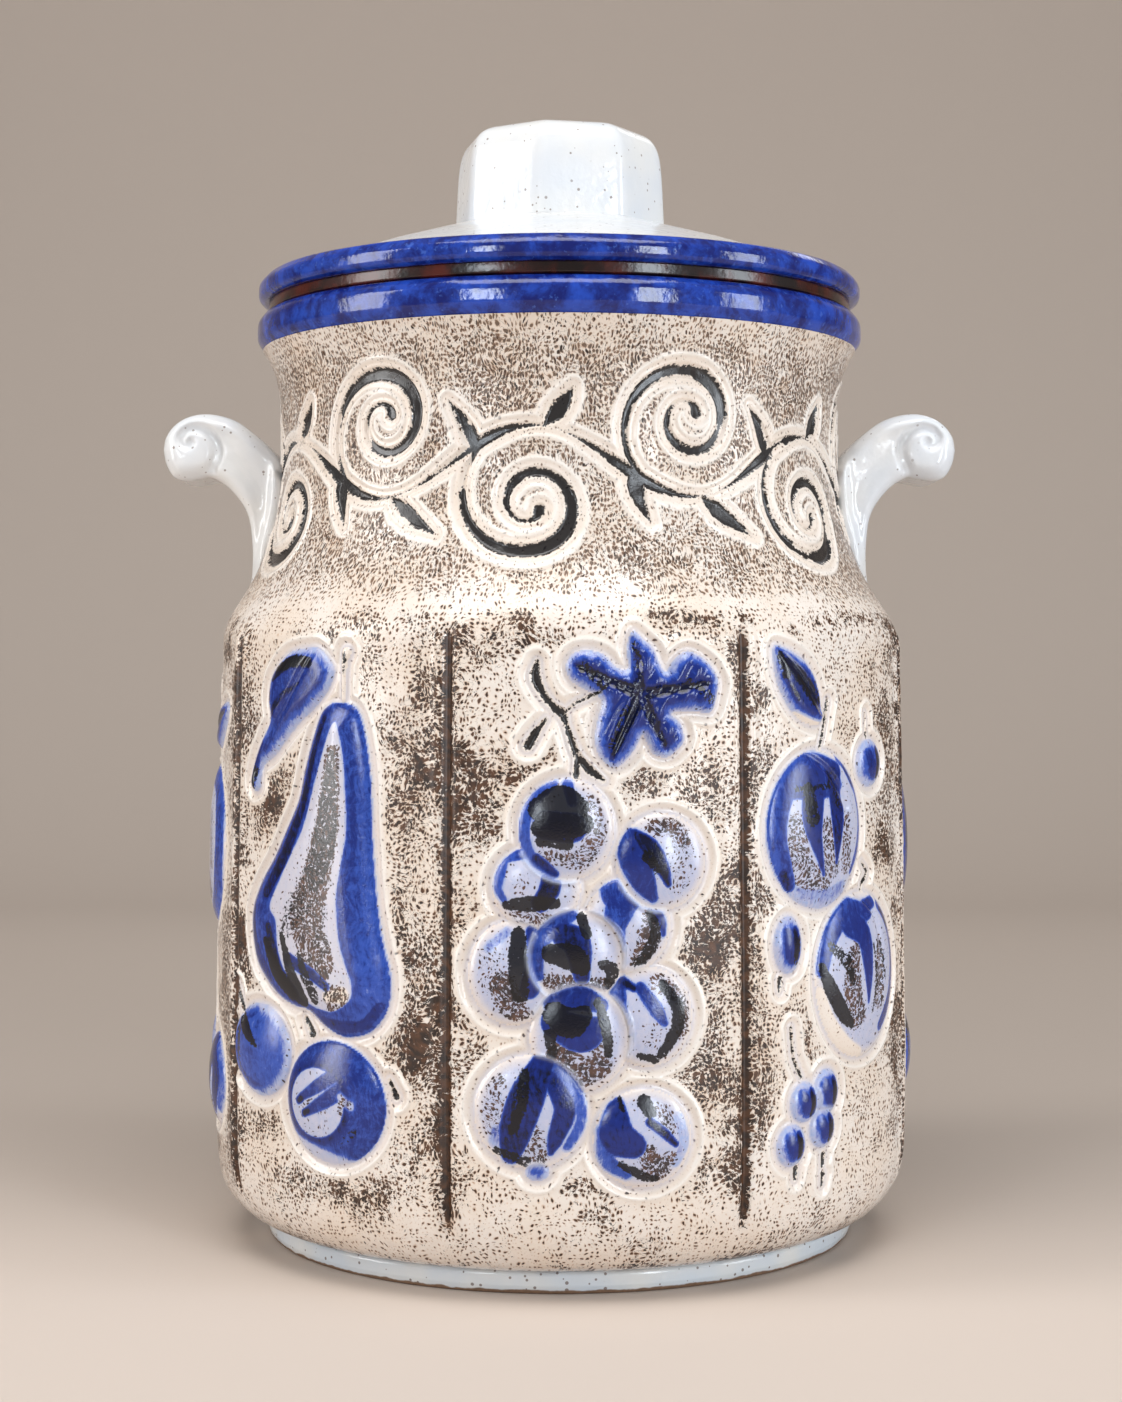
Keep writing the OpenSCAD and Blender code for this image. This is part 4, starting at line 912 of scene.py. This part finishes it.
def apple_panel(panel):
    """An apple on a leafy stalk, with two cherries below it."""
    u, z = panel.u, panel.z
    leaf = from_outline(u, z, through(APPLE_LEAF, 6, closed=True))
    vein = from_stroke(u, z, [(2, 139), (13, 144), (25, 148.5)], [0.3, 0.5, 0.3])
    panel.lay(leaf, pillow(leaf, 4, 1.7) - 0.5 * bell(vein, 0.8), 0.78, [
        ("b", 1.0, [(4, 140), (13, 144), (23, 148)], [1.6, 2.2, 1.2]), ("k", 0.65, [(8, 142), (18, 146.5)], [1.4, 1.4])])
    panel.carve(from_stroke(u, z, [(1, 154), (-1, 146), (0, 135)], [1.0, 0.7, 0.6]))
    distance, m = from_ellipse(u, z, (0, 111), (25, 23.5))
    distance = np.maximum(distance, -from_ellipse(u, z, (0, 136), (9, 6))[0])
    panel.lay(distance, pillow(distance, 14, 3.0), 0.2, APPLE_MARKS)
    for foot, high, end in (((-14, 51), 63, (-4, 80)), ((15, 46), 58.6, (-2, 80))):
        middle = ((foot[0] + end[0]) / 2 - 1, 72)
        panel.carve(from_stroke(u, z, [(foot[0], high), middle, end], [0.5, 0.5, 0.8]))
    berry(panel, (-14, 51), (12, 12), CHERRY_MARKS, 0.4)
    berry(panel, (15, 46), (13, 12.6), GRAPES[8][2], 0.25)


DESIGNS = [grape_panel, plum_panel, apple_panel, pear_panel]

# Where the cloth left most stain between the motifs: middle, half sizes, amount, for each design
STAINS = [
    [(-15, 136, 12, 9, 0.5), (27, 128, 9, 12, 0.5), (29, 96, 6, 22, 0.55), (27, 62, 8, 16, 0.6), (-33, 128, 6, 18, 0.3),
     (-32, 66, 5, 14, 0.4), (-16, 166, 9, 5, 0.3), (-4, 31, 16, 3, 0.5), (26, 34, 9, 6, 0.3)],
    [(-31, 128, 5, 24, 0.35), (24, 120, 10, 22, 0.4), (-31, 104, 6, 10, 0.5), (29, 60, 6, 22, 0.3), (-33, 50, 5, 20, 0.35)],
    [(-30, 140, 8, 16, 0.5), (28, 80, 8, 18, 0.5), (-28, 82, 9, 12, 0.4), (2, 28, 20, 5, 0.4), (22, 164, 12, 5, 0.3)],
    [(-20, 128, 6, 10, 0.75), (-33, 148, 5, 24, 0.35), (-34, 84, 5, 12, 0.5), (28, 128, 8, 26, 0.35), (30, 82, 7, 20, 0.5),
     (27, 62, 9, 10, 0.6), (14, 160, 9, 6, 0.3), (0, 26, 26, 6, 0.4), (-22, 40, 10, 5, 0.45)],
]


# One repeat of the neck's carved vine, 60 degrees long, as (distance along, height): stem, tendrils, leaves
VINE_REPEAT = math.radians(60) * 81


def tendril(centre, start, sweep, reach, turns=1.55):
    """Spiral that begins at the angle start, this far out, and winds in with each turn."""
    t = np.linspace(0, 1, 26)
    angle = np.radians(start + sweep * 360 * turns * t)
    radius = 2.6 + (reach - 2.6) * (1 - t)**0.9 * (1 - 0.32 * ease(t, 0, 0.25))
    points = np.column_stack([centre[0] + radius * np.cos(angle), centre[1] + radius * np.sin(angle)])
    widths = 0.55 + 1.5 * bell(t - 0.30, 0.2) + 0.7 * bell(t - 0.62, 0.12) + 1.1 * bell(t - 1, 0.07)
    return points, widths


def vine_lines():
    """Strokes of one repeat of the vine."""
    quarter = VINE_REPEAT / 4
    x = np.linspace(-quarter, 5 * quarter, 37)
    stem = np.column_stack([x, 213 + 9 * np.sin(2 * np.pi * x / VINE_REPEAT)])
    lines = [(stem, 0.9 + 0.75 * np.sin(4 * np.pi * x / VINE_REPEAT + 0.6))]
    lines.append(tendril((quarter, 201.5), 128, 1, 21))
    lines.append(tendril((3 * quarter, 224.5), 232, -1, 21))
    for x0, z0, turn in ((1.15, 222, 42), (3.15, 204, -42), (0.28, 214, 98), (2.28, 212, -98)):
        c, s = math.cos(math.radians(turn)), math.sin(math.radians(turn))
        line = [(x0 * quarter + c * t - 0.004 * s * t * t * 6, z0 + s * t) for t in (0, 5, 10, 15)]
        lines.append((line, [0.4, 2.4, 1.7, 0.15]))
    return lines


def neck_vine(azimuth, z):
    """Distance to the carved vine round the neck, from its repeats before, at and after each point."""
    along = np.radians(azimuth + 200) * 81
    local = along % VINE_REPEAT
    low = 9.0 + 0 * z
    for points, widths in vine_lines():
        for shift in (-VINE_REPEAT, 0, VINE_REPEAT):
            moved = np.asarray(points) + (shift, 0)
            if moved[:, 0].max() > -9 and moved[:, 0].min() < VINE_REPEAT + 9:
                low = np.minimum(low, from_stroke(local, z, moved, widths, fine=2))
    return low


# ---------------------------------------------------------------- body walls

def wall_rows(base, relief, neck):
    """Heights of a wall's rows: along the round base by equal turns of its arc, then even over the
    relief and over the neck."""
    arc = np.linspace(0, np.pi / 2, base, endpoint=False)
    return np.concatenate([foot_top + 20 * (1 - np.cos(arc)),
                           np.linspace(foot_top + 20, 171, relief, endpoint=False),
                           np.linspace(171, lip_z, neck + 1)])


def wall_fields(k, azimuth, z):
    """Radius over the plain shape, and the glaze fields, of wall k on a grid of azimuths and heights."""
    turn = azimuth - (PANEL_TURN + 45 * k)
    turn = (turn + 180) % 360 - 180
    plain = body_radius(azimuth, z)
    panel = Panel(plain * np.sin(np.radians(turn)), z)
    DESIGNS[k % 4](panel)
    angle = np.radians(azimuth)
    x, y = plain * np.sin(angle), -plain * np.cos(angle)

    # Relief: what the panel carries, a moat and a soft bank round it, and the vine of the neck
    vine = neck_vine(azimuth, z)
    on_neck = ease(z, 176, 180)
    side = np.radians(22.5 - np.abs(turn)) * 99
    length = ease(z, 13, 24) * ease(z, 172, 167)
    groove = (-1.5 * bell(side, 1.15) + 0.3 * bell(side - 3.1, 1.2)) * length
    out = np.maximum(panel.edge, 0)
    moat = -0.5 * bell(out - 0.9, 1.0)
    bank = bell(out - 2.8, 0.55) * (panel.edge > 0)
    height = np.where(panel.edge < 0, panel.height - 0.22, moat + 0.45 * bank)
    vine_out = np.maximum(vine, 0)
    vine_bank = bell(vine_out - 2.3, 0.55) * (vine > 0)
    vine_height = -0.95 * ease(vine, 0.25, -0.6) + 0.42 * vine_bank - 0.15 * bell(vine_out - 1.0, 0.8) * (vine > 0)
    height = height * (1 - on_neck) + groove + vine_height * on_neck
    height = height + (clay_noise(x, y, z, 3.0, 51) - 0.5) * 0.16 * ease(out, 0.5, 3)

    # Stain: patches of the cloth's print, the fringed grooves, the shoulder, the foot and the neck
    patch = clay_noise(x, y, z, 11, 11 + k)
    fine_patch = clay_noise(x, y, z, 4.0, 31 + k)
    tiny_patch = clay_noise(x, y, z, 1.7, 61 + k)
    rough = 0.5 * patch + 0.32 * fine_patch + 0.18 * tiny_patch
    stain = 0.20 + 0.5 * (rough - 0.35) + 0.25 * ease(rough, 0.52, 0.7)
    for cu, cz, half_u, half_z, amount in STAINS[k % 4]:
        m = np.hypot((panel.u - cu) / half_u, (z - cz) / half_z)
        stain = stain + amount * ease(m, 1.25, 0.2) * (0.25 + 1.2 * rough)
    stain = stain * (0.55 + 0.45 * ease(z, 8, 45))
    stain = stain * (1 - 0.8 * bell(z - 177, 3.2)) + 0.3 * bell(z - 172.5, 2.0) * ease(rough, 0.42, 0.65)
    stain = stain + bell(side, 3.4) * length * (0.1 + 0.7 * fine_patch * ease(patch, 0.2, 0.6))
    stain = stain + 0.5 * bell(z - foot_top - 1, 2.0) * ease(rough, 0.4, 0.6)
    crack = bell(side, 1.6) * length * (0.62 + 0.5 * tiny_patch)
    neck_stain = 0.50 + 0.55 * (rough - 0.5) - 0.22 * ease(z, 238, 250) - 0.2 * ease(z, 188, 179)
    stain = stain * (1 - on_neck) + neck_stain * on_neck
    halo = ease(panel.edge, 4.5, 3.2) * (1 - on_neck) + ease(vine, 3.5, 2.3) * on_neck
    stain = np.maximum(stain, crack * 1.3)
    halo = halo * (1 - np.clip(crack, 0, 1))
    stain = stain * (1 - halo) * (panel.edge > 0) + panel.specks * (panel.edge <= 0) * (1 - on_neck) + (
        neck_stain * on_neck * (1 - halo) * (panel.edge <= 0))

    mist = 0.15 * bell(out, 1.5) * (panel.cobalt + panel.bare < 2) * ease(panel.edge, -1, 0) * (1 - panel.ink)
    cobalt = np.where(panel.edge < 0, panel.cobalt, mist)
    carved = paint(vine + 0.5 * (tiny_patch - 0.45) + 0.9 * ease(patch, 0.62, 0.8), 0.9)
    # Painted highlight along the crests of the soft banks, the raised overlap lines and the vine's banks.
    painted_ridge_highlight = np.maximum(np.maximum(bank, panel.painted_ridge_highlight) * (1 - on_neck), vine_bank * on_neck)
    ink = panel.ink * (1 - on_neck) + carved * on_neck
    motif = np.where(panel.edge < 0, 1.0, np.maximum(panel.motif, 0))
    ground_and_highlight = np.stack([np.clip(stain, 0, 1.4), halo, painted_ridge_highlight, on_neck], -1)
    brush = np.stack([cobalt * (1 - on_neck), ink, crack * length, motif * (1 - on_neck) + paint(vine, 0.9) * on_neck], -1)
    return plain + height, ground_and_highlight, brush


def stripe(fine, coarse, q, flip):
    """Triangles between a fine row of points and a coarse one, q fine pieces to each coarse one."""
    n = len(fine) - 1
    i = np.arange(n)
    a = np.column_stack([fine[i], fine[i + 1], coarse[i // q]])
    j = np.arange(len(coarse) - 1)
    b = np.column_stack([coarse[j + 1], coarse[j], fine[(j + 1) * q]])
    out = np.vstack([a, b])
    return out[:, ::-1] if flip else out


def body_wall(name, k, stands_for, rows, cols, q=8):
    """An eighth of the body: its panel with the relief, the shoulder and the neck above it, and the
    inner wall behind, closed all round."""
    z1 = wall_rows(*rows)
    middle = PANEL_TURN + 45 * (k if k < 5 else k - 8)
    az1 = middle + np.linspace(-22.5, 22.5, cols + 1)
    step = az1[1] - az1[0]
    # One spare column on each side gives the slopes at the side borders
    az_wide = np.concatenate([[az1[0] - step], az1, [az1[-1] + step]])
    azimuth, z = np.meshgrid(az_wide, z1)
    radius, ground_and_highlight, brush = wall_fields(k, azimuth, z)
    angle = np.radians(azimuth)
    outer = np.stack([radius * np.sin(angle), -radius * np.cos(angle), z], -1)
    du = np.gradient(outer, axis=1)
    dv = np.gradient(outer, axis=0)
    normal = np.cross(du, dv)
    normal /= np.linalg.norm(normal, axis=-1, keepdims=True)
    cut = (slice(None), slice(1, -1))
    outer, normal, ground_and_highlight, brush = outer[cut], normal[cut], ground_and_highlight[cut], brush[cut]
    azimuth, z = azimuth[cut], z[cut]

    z_back = z1[::q]
    fall = np.clip((30 - z_back) / (30 - foot_top), 0, 1)
    arc = np.clip(fall / 0.8, 0, 1) * np.pi / 2
    r_back = np.where(z_back >= 30, inner_radius(z_back), 74 + 15 * np.cos(arc))
    h_back = np.where(z_back >= 30, z_back, 30 - 15 * np.sin(arc))
    h_back = np.where(fall > 0.8, FLOOR_Z - (fall - 0.8) / 0.2 * (FLOOR_Z - foot_top), h_back)
    a_back = np.radians(az1[::q])[None]
    inner = np.stack([r_back[:, None] * np.sin(a_back), -r_back[:, None] * np.cos(a_back),
                      h_back[:, None] + 0 * a_back], -1)

    n_rows, n_cols = outer.shape[:2]
    m_rows, m_cols = inner.shape[:2]
    first = n_rows * n_cols
    quads = grid_quads(n_rows, n_cols)
    back = grid_quads(m_rows, m_cols, first)[:, ::-1]
    front_ids = np.arange(first).reshape(n_rows, n_cols)
    back_ids = first + np.arange(m_rows * m_cols).reshape(m_rows, m_cols)
    triangles = np.vstack([stripe(front_ids[0], back_ids[0], q, True),
                           stripe(front_ids[-1], back_ids[-1], q, False),
                           stripe(front_ids[:, 0], back_ids[:, 0], q, False),
                           stripe(front_ids[:, -1], back_ids[:, -1], q, True)])
    points = np.vstack([outer.reshape(-1, 3), inner.reshape(-1, 3)])
    radial = inner * (-1, -1, 0)
    radial /= np.linalg.norm(radial, axis=-1, keepdims=True)
    normals = np.vstack([normal.reshape(-1, 3), radial.reshape(-1, 3)])
    plain_back = np.zeros((m_rows * m_cols, 4))
    sheet = np.stack([np.radians(azimuth) * 97, z, 0 * z], -1).reshape(-1, 3)
    fields = {"ground_and_highlight": np.vstack([ground_and_highlight.reshape(-1, 4), plain_back]),
              "brush": np.vstack([brush.reshape(-1, 4), plain_back]),
              "sheet": np.vstack([sheet, inner.reshape(-1, 3)])}
    second = np.concatenate([np.zeros(len(quads), int), np.ones(len(back) + len(triangles), int)])
    return write_piece(name, points, np.vstack([quads, back]), [stoneware, inner_glaze], "pot",
                       stands_for, triangles, normals, fields, second)


WALLS = [("wall_grapes_front", "grapes_front"), ("wall_plums_right", "plums_right"),
         ("wall_apple_right", "apple_right"), ("wall_pear_right", "pear_right"),
         ("wall_grapes_back", "grapes_back"), ("wall_plums_left", "plums_left"),
         ("wall_apple_left", "apple_left"), ("wall_pear_left", "pear_left")]
FRONT_WALLS = (0, 1, 7)
for k, (wall, relief) in enumerate(WALLS):
    rows, cols = ((40, 324, 172), 176) if k in FRONT_WALLS else ((32, 232, 120), 128)
    body_wall(wall, k, ("pot_body", relief), rows, cols)

turned("pot_floor", filleted([(0, foot_top), (74, foot_top), (74, FLOOR_Z), (0, FLOOR_Z)], [0, 0, 0, 0]),
       inner_glaze, "pot", ["pot_body"], step=6, around=96)
turned("foot_ring_glazed",
       filleted([(foot_radius - 9, 0), (82.9, 0), (foot_radius, 2.2), (foot_radius, 5.2), (82.4, foot_top + 0.1),
                 (foot_radius - 9, foot_top + 0.1)], [0.8, 1.0, 2.0, 1.6, 0.4, 0]),
       foot_finish, "pot", ["foot_ring"], step=1.2, around=320, wobble=0.12, seed=3)
turned("mouth_rim_rolled",
       filleted([(MOUTH_RADIUS, lip_z), (84.6, lip_z), (rim_radius - 0.1, 252.4), (rim_radius - 0.1, 257.4),
                 (84.4, rim_top), (MOUTH_RADIUS, rim_top)], [0, 0.4, 3.4, 3.6, 1.8, 1.6]),
       blue_glaze, "pot", ["mouth_rim"], step=1.2, around=360, wobble=0.12, seed=4)


# ---------------------------------------------------------------- ears

# Matched points of an ear's upper and lower edge, from its foot on the shoulder to the scroll's end
EAR_UPPER = [(91, 177.6), (86.5, 182), (82, 188), (79, 195), (77.2, 203), (76.6, 211), (78.2, 217),
             (82.3, 222), (87, 226.4), (91.8, 229.8), (96.8, 231.5), (101.7, 231.9), (106.3, 230.8),
             (109.8, 228.4), (112, 225.2), (112.7, 221.6)]
EAR_LOWER = [(91.6, 177.6), (89.4, 180.8), (87.8, 185.5), (87.3, 190.5), (87.5, 196), (88.2, 201.5),
             (89.6, 205.2), (91.8, 208.4), (94.6, 211.3), (97.2, 213), (99.6, 213.9), (102.6, 213.3),
             (106.7, 212.9), (109.8, 214.1), (111.9, 217.6), (112.7, 221.4)]
EAR_SPIRAL = [(98.8, 212.6), (98.5, 216), (97.3, 219), (97, 222), (98.2, 225), (100.3, 227),
              (103.1, 227.8), (105.8, 227), (107.1, 225), (106.8, 223.6), (105.6, 222.9), (104.5, 223.5)]
EAR_CREST = [(80, 215.5), (83.5, 220), (88, 224), (93, 227), (98, 228.9), (103, 229.3), (107.5, 227.4)]
EAR_VALLEY = [(87.5, 186), (84.2, 197), (84.5, 207), (88.5, 214.5), (93, 219.5), (95.5, 223)]


def ear(name, side, stands_for):
    """An ear: a strap between two edges in the x-z plane that curls over at its end. Its front and
    back faces are height fields over that outline: round towards the edge, with a spiral groove round
    the scroll's eye, a crest along the upper edge and a valley down the arm."""
    n_along, n_across, n_wall = 220, 46, 22
    upper, lower = through(EAR_UPPER, 16), through(EAR_LOWER, 16)
    pick = np.linspace(0, len(upper) - 1, n_along)
    index = np.arange(len(upper))
    upper, lower = [np.column_stack([np.interp(pick, index, e[:, c]) for c in (0, 1)]) for e in (upper, lower)]
    across = 0.5 - 0.5 * np.cos(np.linspace(0, np.pi, n_across))
    face = lower[:, None] + (upper - lower)[:, None] * across[None, :, None]
    x, z = face[..., 0], face[..., 1]
    outline = np.vstack([upper, lower[::-1]])
    deep = np.maximum(-from_outline(x, z, outline[::2], 30.0), 0)
    edge_round = 4.6
    bend = np.sqrt(np.maximum(edge_round**2 - np.clip(edge_round - deep, 0, None)**2, 0))
    half = 15 * (0.5 + 0.5 * ease(z, 176, 190))
    groove = from_stroke(x, z, EAR_SPIRAL, [0.5] * len(EAR_SPIRAL), reach=30.0)
    crest = from_stroke(x, z, EAR_CREST, [0.2] * len(EAR_CREST), reach=30.0)
    valley = from_stroke(x, z, EAR_VALLEY, [0.5] * len(EAR_VALLEY), reach=30.0)
    ball = np.hypot(x - 103.6, z - 219.6)
    shape = (0.5 * bell(crest, 1.1) - 1.0 * bell(valley, 3.2) - 1.7 * bell(np.maximum(groove, 0), 1.0)
             + 0.9 * np.clip(1 - (ball / 7.6)**2, 0, 1))
    flare = 1.8 * bell(np.clip(x - neck_radius(z), 0, None), 1.8)
    level = (half - edge_round + bend) + (shape + flare) * ease(deep, 0.2, 3.0)
    wall_y = np.linspace(-1, 1, n_wall + 2)[1:-1]
    front = np.stack([x, -level, z], -1)
    back = np.stack([x, level, z], -1)[:, ::-1]
    up = np.stack([np.repeat(upper[:, :1], n_wall, 1), level[:, -1:] * wall_y,
                   np.repeat(upper[:, 1:], n_wall, 1)], -1)
    down = np.stack([np.repeat(lower[:, :1], n_wall, 1), level[:, :1] * wall_y[::-1],
                     np.repeat(lower[:, 1:], n_wall, 1)], -1)
    loop = np.concatenate([front, up, back, down], axis=1)
    loop[..., 0] *= side
    count = loop.shape[1]
    quads = grid_quads(n_along, count, close_cols=True)
    if side < 0:
        quads = quads[:, ::-1]
    return write_piece(name, loop.reshape(-1, 3), quads, [grey_glaze], "pot", [stands_for],
                       weld=True)


ear("ear_scroll_left", -1, "ear_left")
ear("ear_scroll_right", 1, "ear_right")


# ---------------------------------------------------------------- lid

collar_foot = rim_top - 9
turned("lid_collar",
       filleted([(65.5, collar_foot), (71.5, collar_foot), (71.5, seat_z), (seat_radius, seat_z),
                 (seat_radius, lid_z), (65.5, lid_z)], [1.5, 1.5, 0.6, 0.8, 0.2, 0]),
       brown_glaze, "lid", ["lid_seat"], step=1.5, around=320)
turned("lid_rim_rolled",
       filleted([(77.3, lid_z), (84.4, lid_z), (lid_rim_radius - 0.05, 264.6), (lid_rim_radius - 0.05, 268),
                 (83.8, lid_rim_top), (77.3, lid_rim_top)], [0, 1.6, 2.6, 2.6, 2.2, 0.6]),
       blue_glaze, "lid", ["lid_rim"], step=1.2, around=360, wobble=0.1, seed=5)
turned("lid_cone",
       filleted([(65.5, lid_z), (77.3, lid_z), (77.3, lid_rim_top + 0.4), (55, 278.6), (31, knob_z),
                 (20.5, knob_z), (20.5, knob_z - 6.5), (31, knob_z - 6.5)],
                [0.5, 0, 1.2, 40, 3.0, 0.5, 1.0, 6]),
       grey_glaze, "lid", ["lid_dome"], step=2.0, around=320, wobble=0.1, seed=6)


def knob_shape(azimuth, rise):
    """Octagonal knob: along a ray from the middle of its base, the reach is the inverse of the sum of
    the inverse distances to its eight leaning faces and its top, each raised to a power that sets how
    round their edges are."""
    height = knob_top - knob_z
    d = np.stack([np.cos(rise) * np.sin(azimuth), -np.cos(rise) * np.cos(azimuth), np.sin(rise)], -1)
    lean = math.radians(2.6)
    apothem = 31 * math.cos(math.pi / 8)
    sides = 0.0
    for face in range(8):
        a = math.radians(12.7 + 45 * face)
        n = np.array([math.cos(lean) * math.sin(a), -math.cos(lean) * math.cos(a), math.sin(lean)])
        sides = sides + np.clip(d @ n / (apothem * math.cos(lean)), 0, None) ** 48
    sides = sides ** (1 / 48)
    top = np.clip(np.sin(rise), 0, None) / height
    reach = (sides**7 + top**7) ** (-1 / 7)
    return d * reach[..., None]


def knob():
    """The knob with its hollow: rays from the base to the top outside, then down the bore inside."""
    around, up = 320, 110
    azimuth = np.arange(around) / around * 2 * np.pi
    rise = np.linspace(0, np.pi / 2, up)
    a, r = np.meshgrid(azimuth, rise)
    outer = knob_shape(a, r) + (0, 0, knob_z)
    outer[-1, :, :2] = 0
    bore_r = np.array([20.5, 20.5, 20.5, 19.5, 15, 0])
    bore_z = np.array([knob_z, knob_z + 8, knob_z + 18, knob_top - 8.5, knob_top - 7.2, knob_top - 7])
    inner = np.stack([bore_r[:, None] * np.sin(azimuth), -bore_r[:, None] * np.cos(azimuth),
                      bore_z[:, None] + 0 * azimuth], -1)
    loop = np.concatenate([outer[::-1], inner], axis=0)
    rows = loop.shape[0]
    quads = grid_quads(rows, around, close_cols=True)[:, ::-1]
    return write_piece("lid_knob_octagonal", loop.reshape(-1, 3), quads, [grey_glaze], "lid",
                       ["lid_knob"], weld=True)


knob()


# ---------------------------------------------------------------- floor, light and camera

def plain_stage():
    """Pale floor that sweeps up into a wall behind the pot, its colour painted darker behind the pot and a little
    lighter up the wall as painted shade.
    """
    g = Glaze("stage_paper", 0.9)
    at = g.add("ShaderNodeTexCoord").outputs["Object"]
    place = g.add("ShaderNodeSeparateXYZ", {0: at}).outputs
    paper = (0.60, 0.515, 0.45)
    # Painted shade: the paper's colour darkens from the front to behind the pot, then lightens a little up the wall.
    shade = g.ramp(place[1], -0.12, 0.16, 1.0, 0.70)
    shade = g.plus(shade, g.ramp(place[1], 0.2, 0.8, 0.0, 0.10))
    g.feed(g.shader.inputs["Base Color"], g.mix(shade, (0, 0, 0), paper))
    g.shader.inputs["Specular IOR Level"].default_value = 0.0
    turn = np.linspace(0, np.pi / 2, 24)
    y = np.concatenate([[-4.0], 0.9 + 0.8 * np.sin(turn), [1.7]])
    z = np.concatenate([[0], 0.8 * (1 - np.cos(turn)), [4.0]])
    x = np.array([-5.0, 5.0])
    points = np.stack([x[None] + 0 * y[:, None], y[:, None] + 0 * x, z[:, None] + 0 * x], -1)
    mesh = bpy.data.meshes.new("floor")
    mesh.from_pydata(points.reshape(-1, 3).tolist(), [], grid_quads(len(y), 2).tolist())
    mesh.polygons.foreach_set("use_smooth", np.ones(len(mesh.polygons), bool))
    mesh.materials.append(g.material)
    floor = bpy.data.objects.new("floor", mesh)
    bpy.context.scene.collection.objects.link(floor)


plain_stage()


def softbox(name, azimuth, elevation, distance, width, height, power, colour=(1, 1, 1)):
    """Rectangular lamp this far from the pot's middle, facing it; azimuth runs from the front to +X."""
    a, e = math.radians(azimuth), math.radians(elevation)
    light = bpy.data.lights.new(name, "AREA")
    light.shape = "RECTANGLE"
    light.size, light.size_y = width, height
    light.energy, light.color = power, colour
    lamp = bpy.data.objects.new(name, light)
    from_pot = np.array([math.sin(a) * math.cos(e), -math.cos(a) * math.cos(e), math.sin(e)])
    lamp.location = from_pot * distance + (0, 0, 0.15)
    lamp.rotation_euler = (math.pi / 2 - e, 0, a)
    bpy.context.scene.collection.objects.link(lamp)


softbox("window_right", 34, 6, 1.5, 0.26, 0.85, 9.5, (0.84, 0.92, 1.0))
softbox("window_far_right", 71, 6, 1.5, 0.36, 0.95, 9, (0.86, 0.93, 1.0))
softbox("window_left", -27, 12, 1.5, 0.20, 0.28, 3, (0.84, 0.92, 1.0))
softbox("bank_left", -74, 16, 1.6, 0.5, 1.2, 13)
softbox("overhead", 0, 74, 1.7, 1.5, 1.1, 24)
softbox("bank_back", 170, 25, 2.2, 1.6, 1.2, 16)

world = bpy.data.worlds.new("studio_air")
bpy.context.scene.world = world
world.use_nodes = True
air = world.node_tree.nodes["Background"]
air.inputs["Color"].default_value = (0.97, 0.96, 0.95, 1)
air.inputs["Strength"].default_value = 0.30

camera_data = bpy.data.cameras.new("camera")
camera_data.lens = 61.6
camera_data.shift_y = -0.025
camera = bpy.data.objects.new("camera", camera_data)
camera.location = (0.0005, -0.6942, 0.1602)
camera.rotation_euler = (math.pi / 2, 0, 0)
bpy.context.scene.collection.objects.link(camera)
bpy.context.scene.camera = camera
bpy.context.scene.view_settings.view_transform = "Standard"
